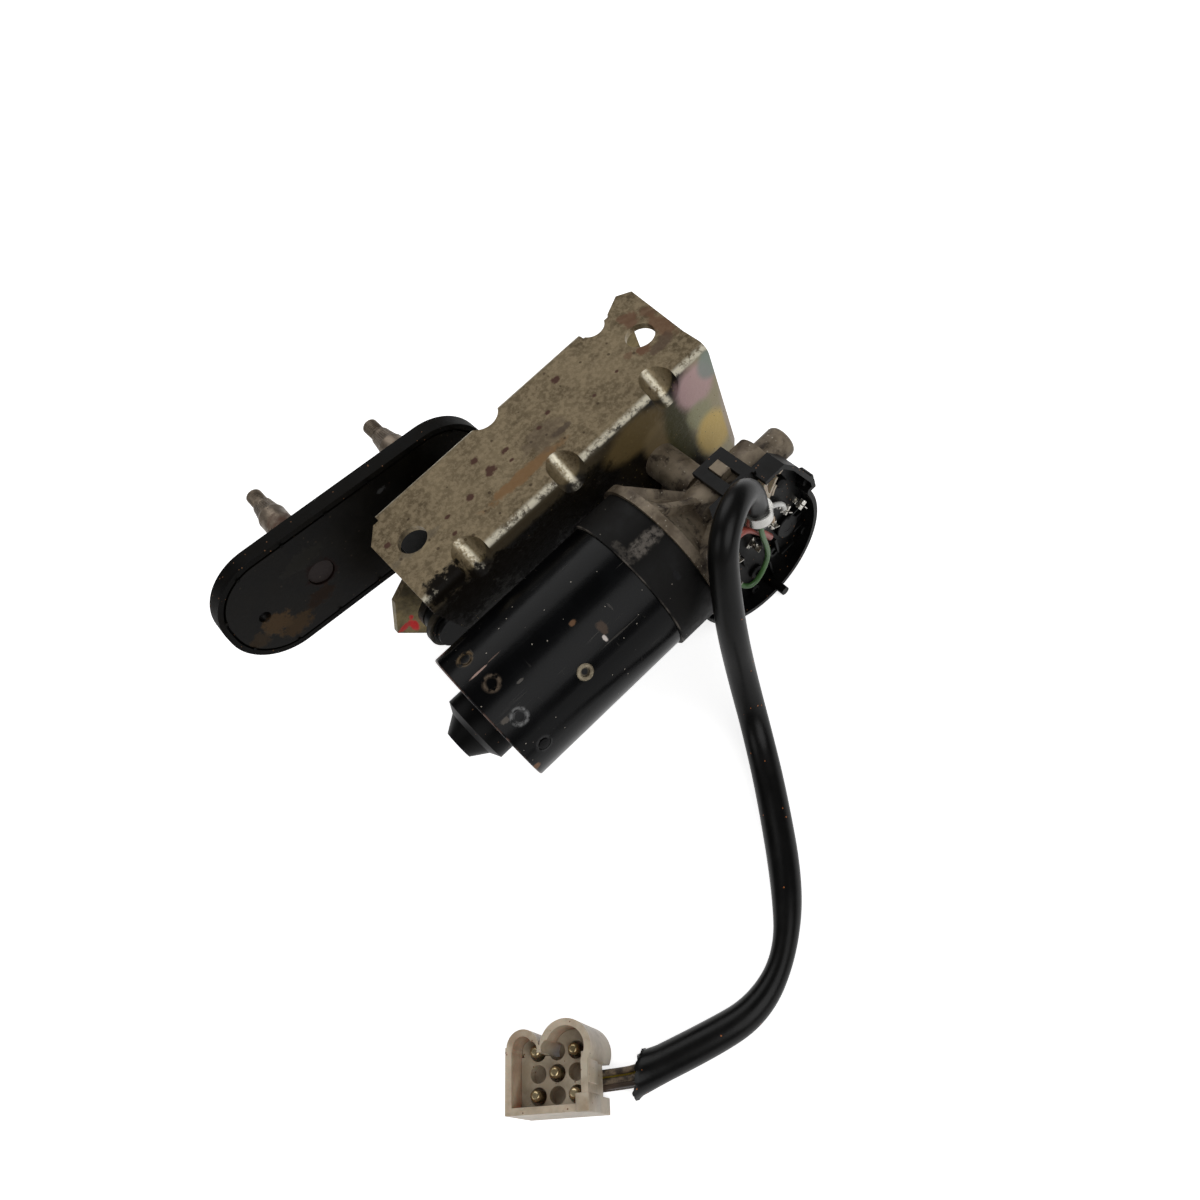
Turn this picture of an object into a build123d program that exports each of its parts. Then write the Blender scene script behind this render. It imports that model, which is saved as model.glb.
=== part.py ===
import os
from math import atan2, cos, degrees, hypot, pi, radians, sin, sqrt, tan
from build123d import *

# Everything is laid out from the motor: its axis is X, the rear end of the yoke is X = 0,
# the wiper spindles point to +Y and the bracket flange faces +Z. All parts are shifted to
# the base of the whole object when they are written out.

# Yoke
yoke_r = 30
yoke_wall = 2
yoke_len = 94
yoke_edge_r = 0.8
pocket_r = 9.5
pocket_wall = 1.5
pocket_len = 7
stake_x = 9
stake_r = 2.8
stake_ring = 0.7
stake_depth = 0.5
stake_angles = (78, 107, 137, 168)
eyelet_x = 37.4
eyelet_angle = 147
eyelet_r = 3.8
eyelet_hole_r = 1.75
eyelet_hub_r = 2.6
eyelet_proud = 0.7

# Sealing band and rear cap
band_len = 18.6
band_thick = 1.3
cap_over = 5.2
cap_r = pocket_r + cap_over
cap_brim = 6.5
cap_lip = 2.1
cap_waist_r = cap_r - 2 * cap_lip
cap_len = 15.2
cap_tip_r = 6.2
cap_wall = 1.8
cap_gap = 0.3

# Rotating armature
shaft_r = 4
journal_r = 3
journal_end = 2
run_gap = 0.03
shaft_rear = -5
magnet_depth = 5.5
air_gap = 0.7
magnet_in = yoke_r - yoke_wall - magnet_depth
core_r = magnet_in - air_gap
core_from = 28
core_short = 22
core_to = yoke_len - core_short
slot_count = 10
slot_r = 3
slot_deep = 6.3
slot_at = core_r - slot_deep
slot_mouth = 2
slot_fill_gap = 0.15
end_turn_len = 7
end_turn_in = 9
end_turn_short = 2.6
end_turn_out = core_r - end_turn_short
comm_r = 10.5
comm_short = 14
comm_len = 12
comm_from = yoke_len - comm_short
comm_bars = 12
comm_slit = 0.7
comm_slit_depth = 1

# Field magnets and brush gear
magnet_from = 24
magnet_short = 18
magnet_to = yoke_len - magnet_short
magnet_arc = 118
plate_short = 13.5
plate_x = yoke_len - plate_short
plate_thick = 1.6
plate_gap = 0.2
plate_r = yoke_r - yoke_wall - plate_gap
plate_hole_r = 12.5
brush_gap = 0.3
brush_len = 9
brush_w = 6
brush_h = 4.5
brush_box_wall = 0.8
brush_box_len = 9

# Worm and wheel
axis_gap = 28
out_ahead = 32
out_x = yoke_len + out_ahead
out_z = -axis_gap
worm_pitch_r = 5.5
module = 1
wheel_teeth = 45
wheel_pitch_r = wheel_teeth * module / 2
worm_half = 13
worm_from = out_x - worm_half
worm_to = out_x + worm_half
wheel_w = 10
wheel_hub_w = 12
wheel_hub_r = 11
wheel_rim_in = 18
wheel_web = 4
pressure_angle = 20
worm_starts = 1
worm_turns = 8
worm_half_tooth = 0.68
wheel_half_tooth = 0.64
root_depth = 1.25 * module
worm_bush_len = 5

# Gearbox casting
ring_over = 3
ring_r = yoke_r + ring_over
ring_len = 4
ring_to = yoke_len + ring_len
spigot_len = 5
spigot_gap = 0.05
bell_len = 15
bell_to = ring_to + bell_len
bell_neck = 6
bell_neck_r = 20
bell_wall = 4
bell_bore = bell_neck_r + bell_wall
bell_sink = 8
rib_count = 7
rib_w = 3
rib_over = 1.5
worm_tube_r = 11.5
worm_bore = 7.6
tube_ahead = 24
tube_to = out_x + tube_ahead
boss_r = 7
boss_len = 14
boss_to = tube_to + boss_len
boss_round = 2.4
shaft_over = 2
shaft_tip = tube_to + shaft_over
ball_r = 2.5
thrust_screw_r = 4.3
boss_end = 3
thrust_gap = 0.05
wheel_case_r = 32
wheel_bore = 24.8
case_near = -8
case_far = 13
case_floor = 3
hub_r = 12
hub_to = 41
leg_r = 8
leg_at = 26
leg_angles = (90, -30, 210)
leg_screw_r = 2.9
leg_thread = 14
leg_head = 5
lug_w = 5
lug_l = 7
lug_ahead = 5.7
lug_side = 0.6
lug_top = 15.6

# Output shaft
out_shaft_r = 6
out_bush_wall = 2
out_bush_inset = 0.5
out_shaft_near = -6.5
crank_near = 45
crank_thick = 5
crank_throw = 24
crank_hub_r = 11
crank_end_r = 7.5
out_nut_h = 6
out_nut_af = 13
out_thread_r = 4
out_thread_over = 2
stud_neck_r = 4.5
ball_stud_r = 5.5
ball_top = 62

# Gear cover
cover_ahead = 0.2
cover_up = 2
cover_cx = out_x + cover_ahead
cover_cz = out_z + cover_up
cover_r = wheel_case_r + cover_up
cover_plate = 2.5
cover_rim_w = 2
cover_depth = 9.5
cover_ring_gap = 0.6
cover_top = 13.5
cover_back = 22
cover_front = 22.8
tab_reach = 35.3
tab_knee = 28.2
tab_knee_z = 6
tab_low = -10.9
tab_foot = -16
exit_w = 17
exit_side = 4
loop_from = 3
loop_w = 16
loop_l = 19.5
loop_thick = 2.5
loop_side = 1.8
loop_hole_w = 5.8
loop_hole_l = 12.6
loop_up = 1.5
peg_r = 2
peg_len = 4.5
peg_at = 31
peg_angles = (-82, 198)
boss_disc_r = 5
boss_disc_h = 2
boss_disc_angle = -22
boss_disc_at = 22

# Bracket
sheet = 3
flange_top = 33.3
web_near = 36
wall_far = 90
bend_out_r = 5
bend_in_r = 2
mount_r = 6.5
mount_left_x = 26.1
mount_y = 64
mount_right_x = out_x + mount_left_x
flange_left = 12.4
corner_short = 14
corner_run = 6.6
corner_in = 6
wall_from = 22
wall_over = 11
wall_to = out_x + wall_over
notch_x = 83
notch_r = 7.5
ear_notch_over = 6.3
ear_notch_in = 3.6
ear_notch_r = 6
ear_in = 4.7
ear_w = 9
ear_over = 41
ear_end_in = 4
flange_right = out_x + ear_over
web_ahead = 38
web_right = out_x + web_ahead
web_corner_z = 24
web_side_z = -12
web_mid_z = -24
web_step = 34
web_flare = 32
web_knee_z = -50
web_foot = 18
web_foot_z = -56
web_right_z = -28
wall_left_z = 24
wall_right_z = 18
wall_right_low = -8
wall_right_over = 36
wall_mid_z = -17
wall_low_x = 84
wall_low_z = -24
lobe_x = 16
lobe_z = -50
lobe_tip_x = 6
lobe_tip_z = -47.8
lobe_left = -4.9
lobe_left_z = -31.4
lobe_top_x = 3.6
lobe_top_z = -14.6
lobe_neck_z = -4
dart_places = (38, 88.4, 139.6)
dart_run = 12.5
dart_r = 7

# Linkage
drive_x = 52.8
drive_z = -3.7
idler_x = -10.6
idler_z = 4.4
lever_len = 44.4
lever_rest = 211.5
lever_near = 76
lever_thick = 4
lever_hub_r = 11
lever_end_r = 8.5
lever_ball_in = 7
link_near = 66
link_thick = 3
link_w = 14
link_eye_r = 11
socket_deep = 7
socket_r = 8.3
socket_flange_r = 9.6
socket_flange = 1.2
ball_gap = 0.3
stud_gap = 1

# Spindle plate
pad_near = 112
pad_thick = 8
pad_far = pad_near + pad_thick
pad_half = 29.4
pad_corner = 27
pad_left = -59.5
pad_right = 84.6
pad_z = 3.4
pad_turn = 7.36
plate_inset = 3.5
gasket_lip = 2.5
pad_plate = 4
pad_hole_x = -41.2
pad_hole_z = 7.1
pad_hole_r = 2.8

# Spindles and their housings
spindle_r = 6
spindle_gap = 0.03
spindle_bush_wall = 2
spindle_bush_len = 10
tube_r = 10.5
tube_near = 82
tube_flange_r = 17
tube_flange = 3
shoulder_r = 12.5
shoulder_len = 12
nose_r = 9.4
nose_len = 8
tube_end = pad_far + shoulder_len + nose_len
collar_r = 6.8
collar_gap = 0.3
collar_drive = 11
collar_idler = 19.5
cone_r = 6.4
cone_tip_r = 4.85
drive_cone = 10
idler_cone = 9.5
thread_r = 4
drive_thread = 11
idler_thread = 10.2
tip_chamfer = 0.8
idler_inset = 1
idler_hole_r = 6.4
housing_near = pad_near + pad_plate
collar_from = tube_end + collar_gap
drive_cone_from = collar_from + collar_drive
drive_cone_to = drive_cone_from + drive_cone
drive_tip = drive_cone_to + drive_thread
idler_cone_from = collar_from + collar_idler
idler_cone_to = idler_cone_from + idler_cone
idler_tip = idler_cone_to + idler_thread
ring_groove = 0.5
clip_r = 9
clip_w = 1.2
clip_gap = 0.8
spindle_rear = 2

# Cable
sleeve_r = 6.1
sleeve_bore = 5.1
sleeve_lift = 0.3
wire_r = 1.15
terminal_w = 6
terminal_h = 3.2
clamp_thick = 0.8
clamp_len = 4
conn_w = 30.5
conn_d = 22
conn_h = 26
conn_wall = 2.4
conn_floor = 12
conn_turn = -38.5
conn_x = -70
conn_y = -104.2
left_lobe_r = 6
right_lobe_r = 9.5
pin_r = 2
pin_hole_gap = 0.9
pin_pitch = 7.2
pin_len = 8.5
pin_foot = 8.5

# Overall placing
floor_z = out_z - wheel_case_r
pad_low = pad_z - pad_half + pad_corner
pad_cos = cos(radians(pad_turn))
pad_sin = sin(radians(pad_turn))
pad_left_end = (pad_left + pad_corner) * pad_cos + pad_low * pad_sin - pad_corner
base_x = (pad_left_end + flange_right) / 2
base_y = (idler_tip - ring_r) / 2
shift = Location((-base_x, -base_y, -floor_z))


def across(y):
    return Plane.XZ.offset(-y)


def along(x):
    return Plane.YZ.offset(x)


def save(part, name):
    placed = part.moved(shift)
    placed.label = name
    export_step(placed, "parts/" + name + ".step")


os.makedirs("parts", exist_ok=True)

# Motor can: deep-drawn, with a bearing pocket behind and staked rings near its rear
with BuildPart() as yoke:
    with BuildSketch(Plane.YZ):
        Circle(yoke_r)
    extrude(amount=yoke_len)
    fillet(yoke.edges().sort_by(Axis.X)[0], yoke_edge_r)
    with BuildSketch(along(yoke_wall)):
        Circle(yoke_r - yoke_wall)
    extrude(amount=yoke_len, mode=Mode.SUBTRACT)
    with BuildSketch(along(-pocket_len)):
        Circle(pocket_r)
    extrude(amount=pocket_len + yoke_wall)
    with BuildSketch(along(pocket_wall - pocket_len)):
        Circle(pocket_r - pocket_wall)
    extrude(amount=pocket_len + yoke_wall, mode=Mode.SUBTRACT)
    for angle in stake_angles:
        outward = (0, cos(radians(angle)), sin(radians(angle)))
        foot = (stake_x, yoke_r * outward[1], yoke_r * outward[2])
        with BuildSketch(Plane(origin=foot, x_dir=(1, 0, 0), z_dir=outward)):
            Circle(stake_r)
            Circle(stake_r - stake_ring, mode=Mode.SUBTRACT)
        extrude(amount=-stake_depth, both=True, mode=Mode.SUBTRACT)
    eyelet_out = (0, cos(radians(eyelet_angle)), sin(radians(eyelet_angle)))
    eyelet_at = (eyelet_x, yoke_r * eyelet_out[1], yoke_r * eyelet_out[2])
    eyelet_plane = Plane(origin=eyelet_at, x_dir=(1, 0, 0), z_dir=eyelet_out)
    with BuildSketch(eyelet_plane):
        Circle(eyelet_hub_r)
    extrude(amount=-yoke_wall * 1.5, both=True, mode=Mode.SUBTRACT)
save(yoke.part, "yoke")

with BuildPart() as yoke_eyelet:
    with BuildSketch(eyelet_plane.offset(0.05)):
        Circle(eyelet_r)
    extrude(amount=eyelet_proud)
    with BuildSketch(eyelet_plane.offset(0.05)):
        Circle(eyelet_hub_r)
    extrude(amount=-yoke_wall)
    with BuildSketch(eyelet_plane):
        Circle(eyelet_hole_r)
    extrude(amount=yoke_wall * 2, both=True, mode=Mode.SUBTRACT)
    add(yoke.part, mode=Mode.SUBTRACT)
save(yoke_eyelet.part, "yoke_eyelet")

with BuildPart() as sealing_band:
    with BuildSketch(along(yoke_len - band_len)):
        Circle(yoke_r + band_thick)
        Circle(yoke_r, mode=Mode.SUBTRACT)
    extrude(amount=band_len)
save(sealing_band.part, "sealing_band")

# Rear cap: stepped plastic dome over the bearing pocket
with BuildPart() as rear_cap:
    with BuildSketch(Plane.XY):
        with BuildLine():
            Polyline(
                (0, 0), (0, cap_r), (-cap_brim, cap_r), (-cap_brim - cap_lip / 2, cap_r - cap_lip),
                (-cap_brim - cap_lip, cap_waist_r), (-cap_len, cap_tip_r), (-cap_len, 0), (0, 0),
            )
        make_face()
        with BuildLine():
            Polyline(
                (0, 0), (0, cap_r - cap_wall), (cap_wall - cap_brim, cap_r - cap_wall),
                (-pocket_len - cap_gap, pocket_r + cap_gap), (2 * cap_wall - cap_len, cap_tip_r),
                (2 * cap_wall - cap_len, 0), (0, 0),
            )
        make_face(mode=Mode.SUBTRACT)
    revolve(axis=Axis.X)
save(rear_cap.part, "rear_cap")

with BuildPart() as rear_bush:
    with BuildSketch(along(pocket_wall - pocket_len + 0.5)):
        Circle(pocket_r - pocket_wall)
        Circle(journal_r + run_gap, mode=Mode.SUBTRACT)
    extrude(amount=pocket_len - 0.5)
save(rear_bush.part, "rear_bush")

with BuildPart() as magnets:
    with BuildSketch(along(magnet_from)):
        with PolarLocations(0, 2, start_angle=90):
            Circle(yoke_r - yoke_wall)
            Circle(magnet_in, mode=Mode.SUBTRACT)
        with PolarLocations(0, 2):
            Polygon(
                (0, 0), (2 * yoke_r, 2 * yoke_r * tan(radians(90 - magnet_arc / 2))),
                (2 * yoke_r, -2 * yoke_r * tan(radians(90 - magnet_arc / 2))), mode=Mode.SUBTRACT,
            )
    extrude(amount=magnet_to - magnet_from)
save(magnets.part, "magnets")

# Armature: one shaft from the rear bush to the thrust ball, the worm cut on its front half
worm_root_r = worm_pitch_r - root_depth
lead = pi * module * worm_starts
flank = tan(radians(pressure_angle))
thread_start = out_x - worm_turns / 2 * lead
with BuildPart() as worm_thread:
    with BuildLine() as worm_helix:
        Helix(pitch=lead, height=worm_turns * lead, radius=worm_pitch_r,
              center=(thread_start, 0, 0), direction=(1, 0, 0))
    helix_edge = worm_helix.edges()[0]
    thread_out = (helix_edge @ 0) - Vector(thread_start, 0, 0)
    thread_lay = degrees(atan2(thread_out.Z, thread_out.Y))
    with BuildSketch(Plane(origin=helix_edge @ 0, x_dir=thread_out, z_dir=helix_edge % 0)):
        sunk = root_depth + 0.15
        Polygon(
            (-sunk, -worm_half_tooth - sunk * flank), (module, -worm_half_tooth + module * flank),
            (module, worm_half_tooth - module * flank), (-sunk, worm_half_tooth + sunk * flank), align=None,
        )
    sweep(path=helix_edge, is_frenet=True)

with BuildPart() as armature_shaft:
    with BuildSketch(Plane.XY):
        with BuildLine():
            Polyline(
                (shaft_rear, 0), (shaft_rear, journal_r), (journal_end, journal_r),
                (journal_end, shaft_r), (worm_from - 1, shaft_r), (worm_from, worm_root_r),
                (worm_to, worm_root_r), (worm_to + 1, shaft_r), (shaft_tip, shaft_r), (shaft_tip, 0),
                (shaft_rear, 0),
            )
        make_face()
    revolve(axis=Axis.X)
    add(worm_thread.part.rotate(Axis.X, 270 - thread_lay))
save(armature_shaft.part, "armature_shaft")

with BuildPart() as armature_core:
    with BuildSketch(along(core_from)):
        Circle(core_r)
        Circle(shaft_r, mode=Mode.SUBTRACT)
        with PolarLocations(slot_at, slot_count):
            Circle(slot_r, mode=Mode.SUBTRACT)
        with PolarLocations(core_r - 1.5, slot_count):
            Rectangle(8, slot_mouth, mode=Mode.SUBTRACT)
    extrude(amount=core_to - core_from)
save(armature_core.part, "armature_core")

with BuildPart() as windings:
    with BuildSketch(along(core_from - end_turn_len)):
        Circle(end_turn_out)
        Circle(end_turn_in, mode=Mode.SUBTRACT)
    extrude(amount=end_turn_len)
    with BuildSketch(along(core_to)):
        Circle(end_turn_out)
        Circle(end_turn_in, mode=Mode.SUBTRACT)
    extrude(amount=end_turn_len)
    fillet(windings.edges().filter_by(GeomType.CIRCLE), 2)
    with BuildSketch(along(core_from - 1)):
        with PolarLocations(slot_at, slot_count):
            Circle(slot_r - slot_fill_gap)
    extrude(amount=core_to - core_from + 2)
save(windings.part, "windings")

with BuildPart() as commutator:
    with BuildSketch(along(comm_from)):
        Circle(comm_r)
        Circle(shaft_r, mode=Mode.SUBTRACT)
        with PolarLocations(comm_r, comm_bars):
            Rectangle(comm_slit_depth * 2, comm_slit, mode=Mode.SUBTRACT)
    extrude(amount=comm_len)
save(commutator.part, "commutator")

# Brush gear: a plate across the mouth of the yoke with two brushes in sheet boxes
brush_x = plate_x + plate_thick + brush_box_wall
brush_box_at = comm_r + brush_gap + brush_len - brush_box_len / 4
with BuildPart() as brush_plate:
    with BuildSketch(along(plate_x)):
        Circle(plate_r)
        Circle(plate_hole_r, mode=Mode.SUBTRACT)
    extrude(amount=plate_thick)
    for side in (-1, 1):
        with BuildSketch(Plane.XY):
            with Locations((brush_x + brush_h / 2 - brush_box_wall / 2, side * brush_box_at)):
                Rectangle(brush_h + 3 * brush_box_wall, brush_box_len)
        extrude(amount=brush_w / 2 + brush_box_wall, both=True)
        with BuildSketch(Plane.XY):
            with Locations((brush_x + brush_h / 2, side * brush_box_at)):
                Rectangle(brush_h, brush_box_len + brush_w / 2)
        extrude(amount=brush_w / 2, both=True, mode=Mode.SUBTRACT)
save(brush_plate.part, "brush_plate")

with BuildPart() as brushes:
    for side in (-1, 1):
        with BuildSketch(Plane.XY):
            with Locations((brush_x + brush_h / 2, side * (comm_r + brush_gap + brush_len / 2))):
                Rectangle(brush_h, brush_len)
        extrude(amount=brush_w / 2, both=True)
save(brushes.part, "brushes")

# Gearbox: flange ring and spigot for the yoke, ribbed bell, worm tube, wheel case and legs
with BuildPart() as gearbox:
    with BuildSketch(Plane.XY):
        with BuildLine():
            Polyline(
                (yoke_len - spigot_len, 0), (yoke_len - spigot_len, yoke_r - yoke_wall - spigot_gap),
                (yoke_len, yoke_r - yoke_wall - spigot_gap), (yoke_len, ring_r), (ring_to, ring_r),
                (ring_to, yoke_r - yoke_wall), (ring_to + bell_neck, bell_neck_r),
                (bell_to, worm_tube_r + 1), (bell_to, 0),
                (yoke_len - spigot_len, 0),
            )
        make_face()
    revolve(axis=Axis.X)
    for rib in range(rib_count):
        rib_angle = 20 + rib * 360 / rib_count
        rib_out = (0, cos(radians(rib_angle)), sin(radians(rib_angle)))
        rib_side = (0, sin(radians(rib_angle)), -cos(radians(rib_angle)))
        with BuildSketch(Plane(origin=(0, 0, 0), x_dir=(1, 0, 0), z_dir=rib_side)):
            Polygon(
                (ring_to - 1, bell_neck_r), (ring_to - 1, yoke_r + rib_over), (ring_to + 1, yoke_r + rib_over),
                (bell_to + ring_len, worm_tube_r + 1), (bell_to + ring_len, worm_bore + 1), align=None,
            )
        extrude(amount=rib_w / 2, both=True)
    with BuildSketch(along(bell_to - spigot_len)):
        Circle(worm_tube_r)
    extrude(amount=tube_to - bell_to + spigot_len)
    with BuildSketch(along(tube_to)):
        Circle(boss_r)
    extrude(amount=boss_len)
    fillet(gearbox.edges().filter_by(GeomType.CIRCLE).sort_by(Axis.X)[-1], boss_round)
    with BuildSketch(across(case_near)):
        with Locations((out_x, out_z)):
            Circle(wheel_case_r)
    extrude(amount=-(case_far - case_near))
    with BuildSketch(across(case_far - 1)):
        with Locations((out_x, out_z)):
            Circle(hub_r)
    extrude(amount=-(hub_to - case_far + 1))
    with BuildSketch(across(case_far - 1)):
        for angle in leg_angles:
            with Locations((out_x + leg_at * cos(radians(angle)), out_z + leg_at * sin(radians(angle)))):
                Circle(leg_r)
    extrude(amount=-(web_near - case_far + 1))
    with Locations((out_x + lug_ahead, lug_side, (lug_top + worm_bore + 1) / 2)):
        Box(lug_w, lug_l, lug_top - worm_bore - 1)
    with BuildSketch(Plane.XY):
        with BuildLine():
            Polyline(
                (yoke_len - spigot_len, 0), (yoke_len - spigot_len, bell_bore), (ring_to - 1, bell_bore),
                (ring_to + bell_sink, worm_bore), (tube_to, worm_bore), (tube_to, thrust_screw_r),
                (boss_to - boss_end, thrust_screw_r), (boss_to - boss_end, 0), (yoke_len - spigot_len, 0),
            )
        make_face()
    revolve(axis=Axis.X, mode=Mode.SUBTRACT)
    with BuildSketch(across(case_near)):
        with Locations((out_x, out_z)):
            Circle(wheel_bore)
    extrude(amount=-(case_far - case_floor - case_near), mode=Mode.SUBTRACT)
    with BuildSketch(across(case_near)):
        with Locations((out_x, out_z)):
            Circle(out_shaft_r + out_bush_wall)
    extrude(amount=-(hub_to - case_near), mode=Mode.SUBTRACT)
    with BuildSketch(across(web_near - leg_thread)):
        for angle in leg_angles:
            with Locations((out_x + leg_at * cos(radians(angle)), out_z + leg_at * sin(radians(angle)))):
                Circle(leg_screw_r)
    extrude(amount=-leg_thread, mode=Mode.SUBTRACT)
save(gearbox.part, "gearbox_housing")

with BuildPart() as worm_bushes:
    for start in (ring_to + bell_sink, tube_to - worm_bush_len - shaft_over):
        with BuildSketch(along(start)):
            Circle(worm_bore)
            Circle(shaft_r + run_gap, mode=Mode.SUBTRACT)
        extrude(amount=worm_bush_len)
save(worm_bushes.part, "worm_bushes")

with BuildPart() as thrust_ball:
    with Locations((shaft_tip + thrust_gap + ball_r, 0, 0)):
        Sphere(ball_r)
save(thrust_ball.part, "thrust_ball")

with BuildPart() as thrust_pad:
    with BuildSketch(along(shaft_tip + thrust_gap + 2 * ball_r)):
        Circle(thrust_screw_r)
    extrude(amount=boss_to - boss_end - shaft_tip - thrust_gap - 2 * ball_r)
save(thrust_pad.part, "thrust_pad")

# Worm wheel on the output shaft: teeth laid over to the lead of the worm, one gap at the worm's thread
wheel_lean = degrees(lead / (2 * pi * worm_pitch_r) * wheel_w / 2 / wheel_pitch_r)


def wheel_outline(turn):
    points = []
    for tooth in range(wheel_teeth):
        middle = 90 + (0.5 - tooth) * 360 / wheel_teeth + turn
        for radius, side in (
            (wheel_pitch_r - root_depth, 1), (wheel_pitch_r + module, 1),
            (wheel_pitch_r + module, -1), (wheel_pitch_r - root_depth, -1),
        ):
            half = wheel_half_tooth + (wheel_pitch_r - radius) * flank
            angle = radians(middle) + side * half / radius
            points.append((out_x + radius * cos(angle), out_z + radius * sin(angle)))
    return points


with BuildPart() as worm_wheel:
    with BuildSketch(across(-wheel_w / 2)):
        Polygon(*wheel_outline(wheel_lean), align=None)
    with BuildSketch(across(wheel_w / 2)):
        Polygon(*wheel_outline(-wheel_lean), align=None)
    loft(ruled=True)
    for face in (-wheel_w / 2, wheel_web / 2):
        with BuildSketch(across(face)):
            with Locations((out_x, out_z)):
                Circle(wheel_rim_in)
                Circle(wheel_hub_r, mode=Mode.SUBTRACT)
        extrude(amount=-(wheel_w - wheel_web) / 2, mode=Mode.SUBTRACT)
    with BuildSketch(across(-wheel_hub_w / 2)):
        with Locations((out_x, out_z)):
            Circle(wheel_hub_r)
    extrude(amount=-wheel_hub_w)
    with BuildSketch(across(-wheel_hub_w / 2)):
        with Locations((out_x, out_z)):
            Circle(out_shaft_r)
    extrude(amount=-wheel_hub_w, mode=Mode.SUBTRACT)
save(worm_wheel.part, "worm_wheel")

with BuildPart() as output_shaft:
    with BuildSketch(across(out_shaft_near)):
        with Locations((out_x, out_z)):
            Circle(out_shaft_r)
    extrude(amount=-(crank_near + crank_thick - out_shaft_near))
    with BuildSketch(across(crank_near + crank_thick)):
        with Locations((out_x, out_z)):
            Circle(out_thread_r)
    extrude(amount=-(out_nut_h + out_thread_over))
    chamfer(output_shaft.edges().sort_by(Axis.Y)[-1], 0.8)
    with BuildSketch(across(hub_to + clip_gap)):
        with Locations((out_x, out_z)):
            Circle(out_shaft_r + 1)
            Circle(out_shaft_r - ring_groove, mode=Mode.SUBTRACT)
    extrude(amount=-clip_w, mode=Mode.SUBTRACT)
save(output_shaft.part, "output_shaft")

with BuildPart() as output_circlip:
    with BuildSketch(across(hub_to + clip_gap)):
        with Locations((out_x, out_z)):
            Circle(clip_r)
            Circle(out_shaft_r - ring_groove, mode=Mode.SUBTRACT)
            with Locations((0, -clip_r + 1)):
                Rectangle(4, 6, mode=Mode.SUBTRACT)
    extrude(amount=-clip_w)
save(output_circlip.part, "output_circlip")

with BuildPart() as output_bush:
    with BuildSketch(across(case_far - case_floor + out_bush_inset)):
        with Locations((out_x, out_z)):
            Circle(out_shaft_r + out_bush_wall)
            Circle(out_shaft_r + run_gap, mode=Mode.SUBTRACT)
    extrude(amount=-(hub_to - case_far + case_floor - 2 * out_bush_inset))
save(output_bush.part, "output_bush")

# Crank on the output shaft: hub, throw and riveted ball stud
pin_x = out_x - crank_throw
with BuildPart() as crank:
    with BuildSketch(across(crank_near)):
        with Locations((out_x, out_z)):
            Circle(crank_hub_r)
        with Locations((pin_x, out_z)):
            Circle(crank_end_r)
        make_hull()
        with Locations((out_x, out_z)):
            Circle(out_shaft_r, mode=Mode.SUBTRACT)
        with Locations((pin_x, out_z)):
            Circle(stud_neck_r, mode=Mode.SUBTRACT)
    extrude(amount=-crank_thick)
save(crank.part, "crank")

with BuildPart() as crank_stud:
    with BuildSketch(across(crank_near)):
        with Locations((pin_x, out_z)):
            Circle(stud_neck_r)
    extrude(amount=-(ball_top - ball_stud_r - crank_near))
    with Locations((pin_x, ball_top - ball_stud_r, out_z)):
        Sphere(ball_stud_r)
save(crank_stud.part, "crank_stud")

with BuildPart() as crank_nut:
    with BuildSketch(across(crank_near + crank_thick)):
        with Locations((out_x, out_z)):
            RegularPolygon(out_nut_af / 2, 6, major_radius=False)
            Circle(out_thread_r, mode=Mode.SUBTRACT)
    extrude(amount=-out_nut_h)
save(crank_nut.part, "crank_nut")

# Gear cover: dished terminal tray over the wheel case, open round the worm tube and the bell
tray_y = case_near - cover_plate
cover_near = case_near - cover_depth
with BuildPart() as gear_cover:
    with BuildSketch(across(cover_near)) as cover_outline:
        with Locations((cover_cx, cover_cz)):
            Circle(cover_r)
        Polygon(
            (cover_cx - cover_back, cover_top), (cover_cx + cover_front, cover_top),
            (cover_cx + tab_knee, tab_knee_z), (cover_cx + tab_reach, tab_low),
            (cover_cx + tab_reach, tab_foot), (cover_cx - cover_back, tab_foot), align=None,
        )
    extrude(amount=-cover_depth)
    with BuildSketch(across(cover_near)):
        offset(cover_outline.sketch, amount=-cover_rim_w)
    extrude(amount=-(cover_depth - cover_plate), mode=Mode.SUBTRACT)
    with Locations((out_x + lug_ahead, loop_l / 2 - cover_depth - loop_side, cover_top)):
        Box(loop_w, loop_l, loop_thick)
        Box(loop_hole_w, loop_hole_l, 2 * loop_thick, mode=Mode.SUBTRACT)
    with Locations((out_x + exit_side, (cover_near + tray_y) / 2, cover_top)):
        Box(exit_w, cover_depth - cover_plate, exit_w, mode=Mode.SUBTRACT)
    with BuildSketch(across(tray_y)):
        for angle in peg_angles:
            with Locations((cover_cx + peg_at * cos(radians(angle)), cover_cz + peg_at * sin(radians(angle)))):
                Circle(peg_r)
    extrude(amount=cover_depth - cover_plate + peg_len)
    with BuildSketch(across(tray_y)):
        with Locations((cover_cx + boss_disc_at * cos(radians(boss_disc_angle)),
                        cover_cz + boss_disc_at * sin(radians(boss_disc_angle)))):
            Circle(boss_disc_r)
    extrude(amount=boss_disc_h)
    with BuildSketch(Plane.XY):
        Polygon(
            (0, 0), (0, ring_r + cover_ring_gap), (ring_to + peg_r, ring_r + cover_ring_gap),
            (bell_to + bell_neck, worm_tube_r + peg_r), (bell_to + bell_neck, worm_tube_r + cover_ring_gap),
            (tube_to + cover_ring_gap, worm_tube_r + cover_ring_gap), (tube_to + cover_ring_gap, 0), align=None,
        )
    revolve(axis=Axis.X, mode=Mode.SUBTRACT)
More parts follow.
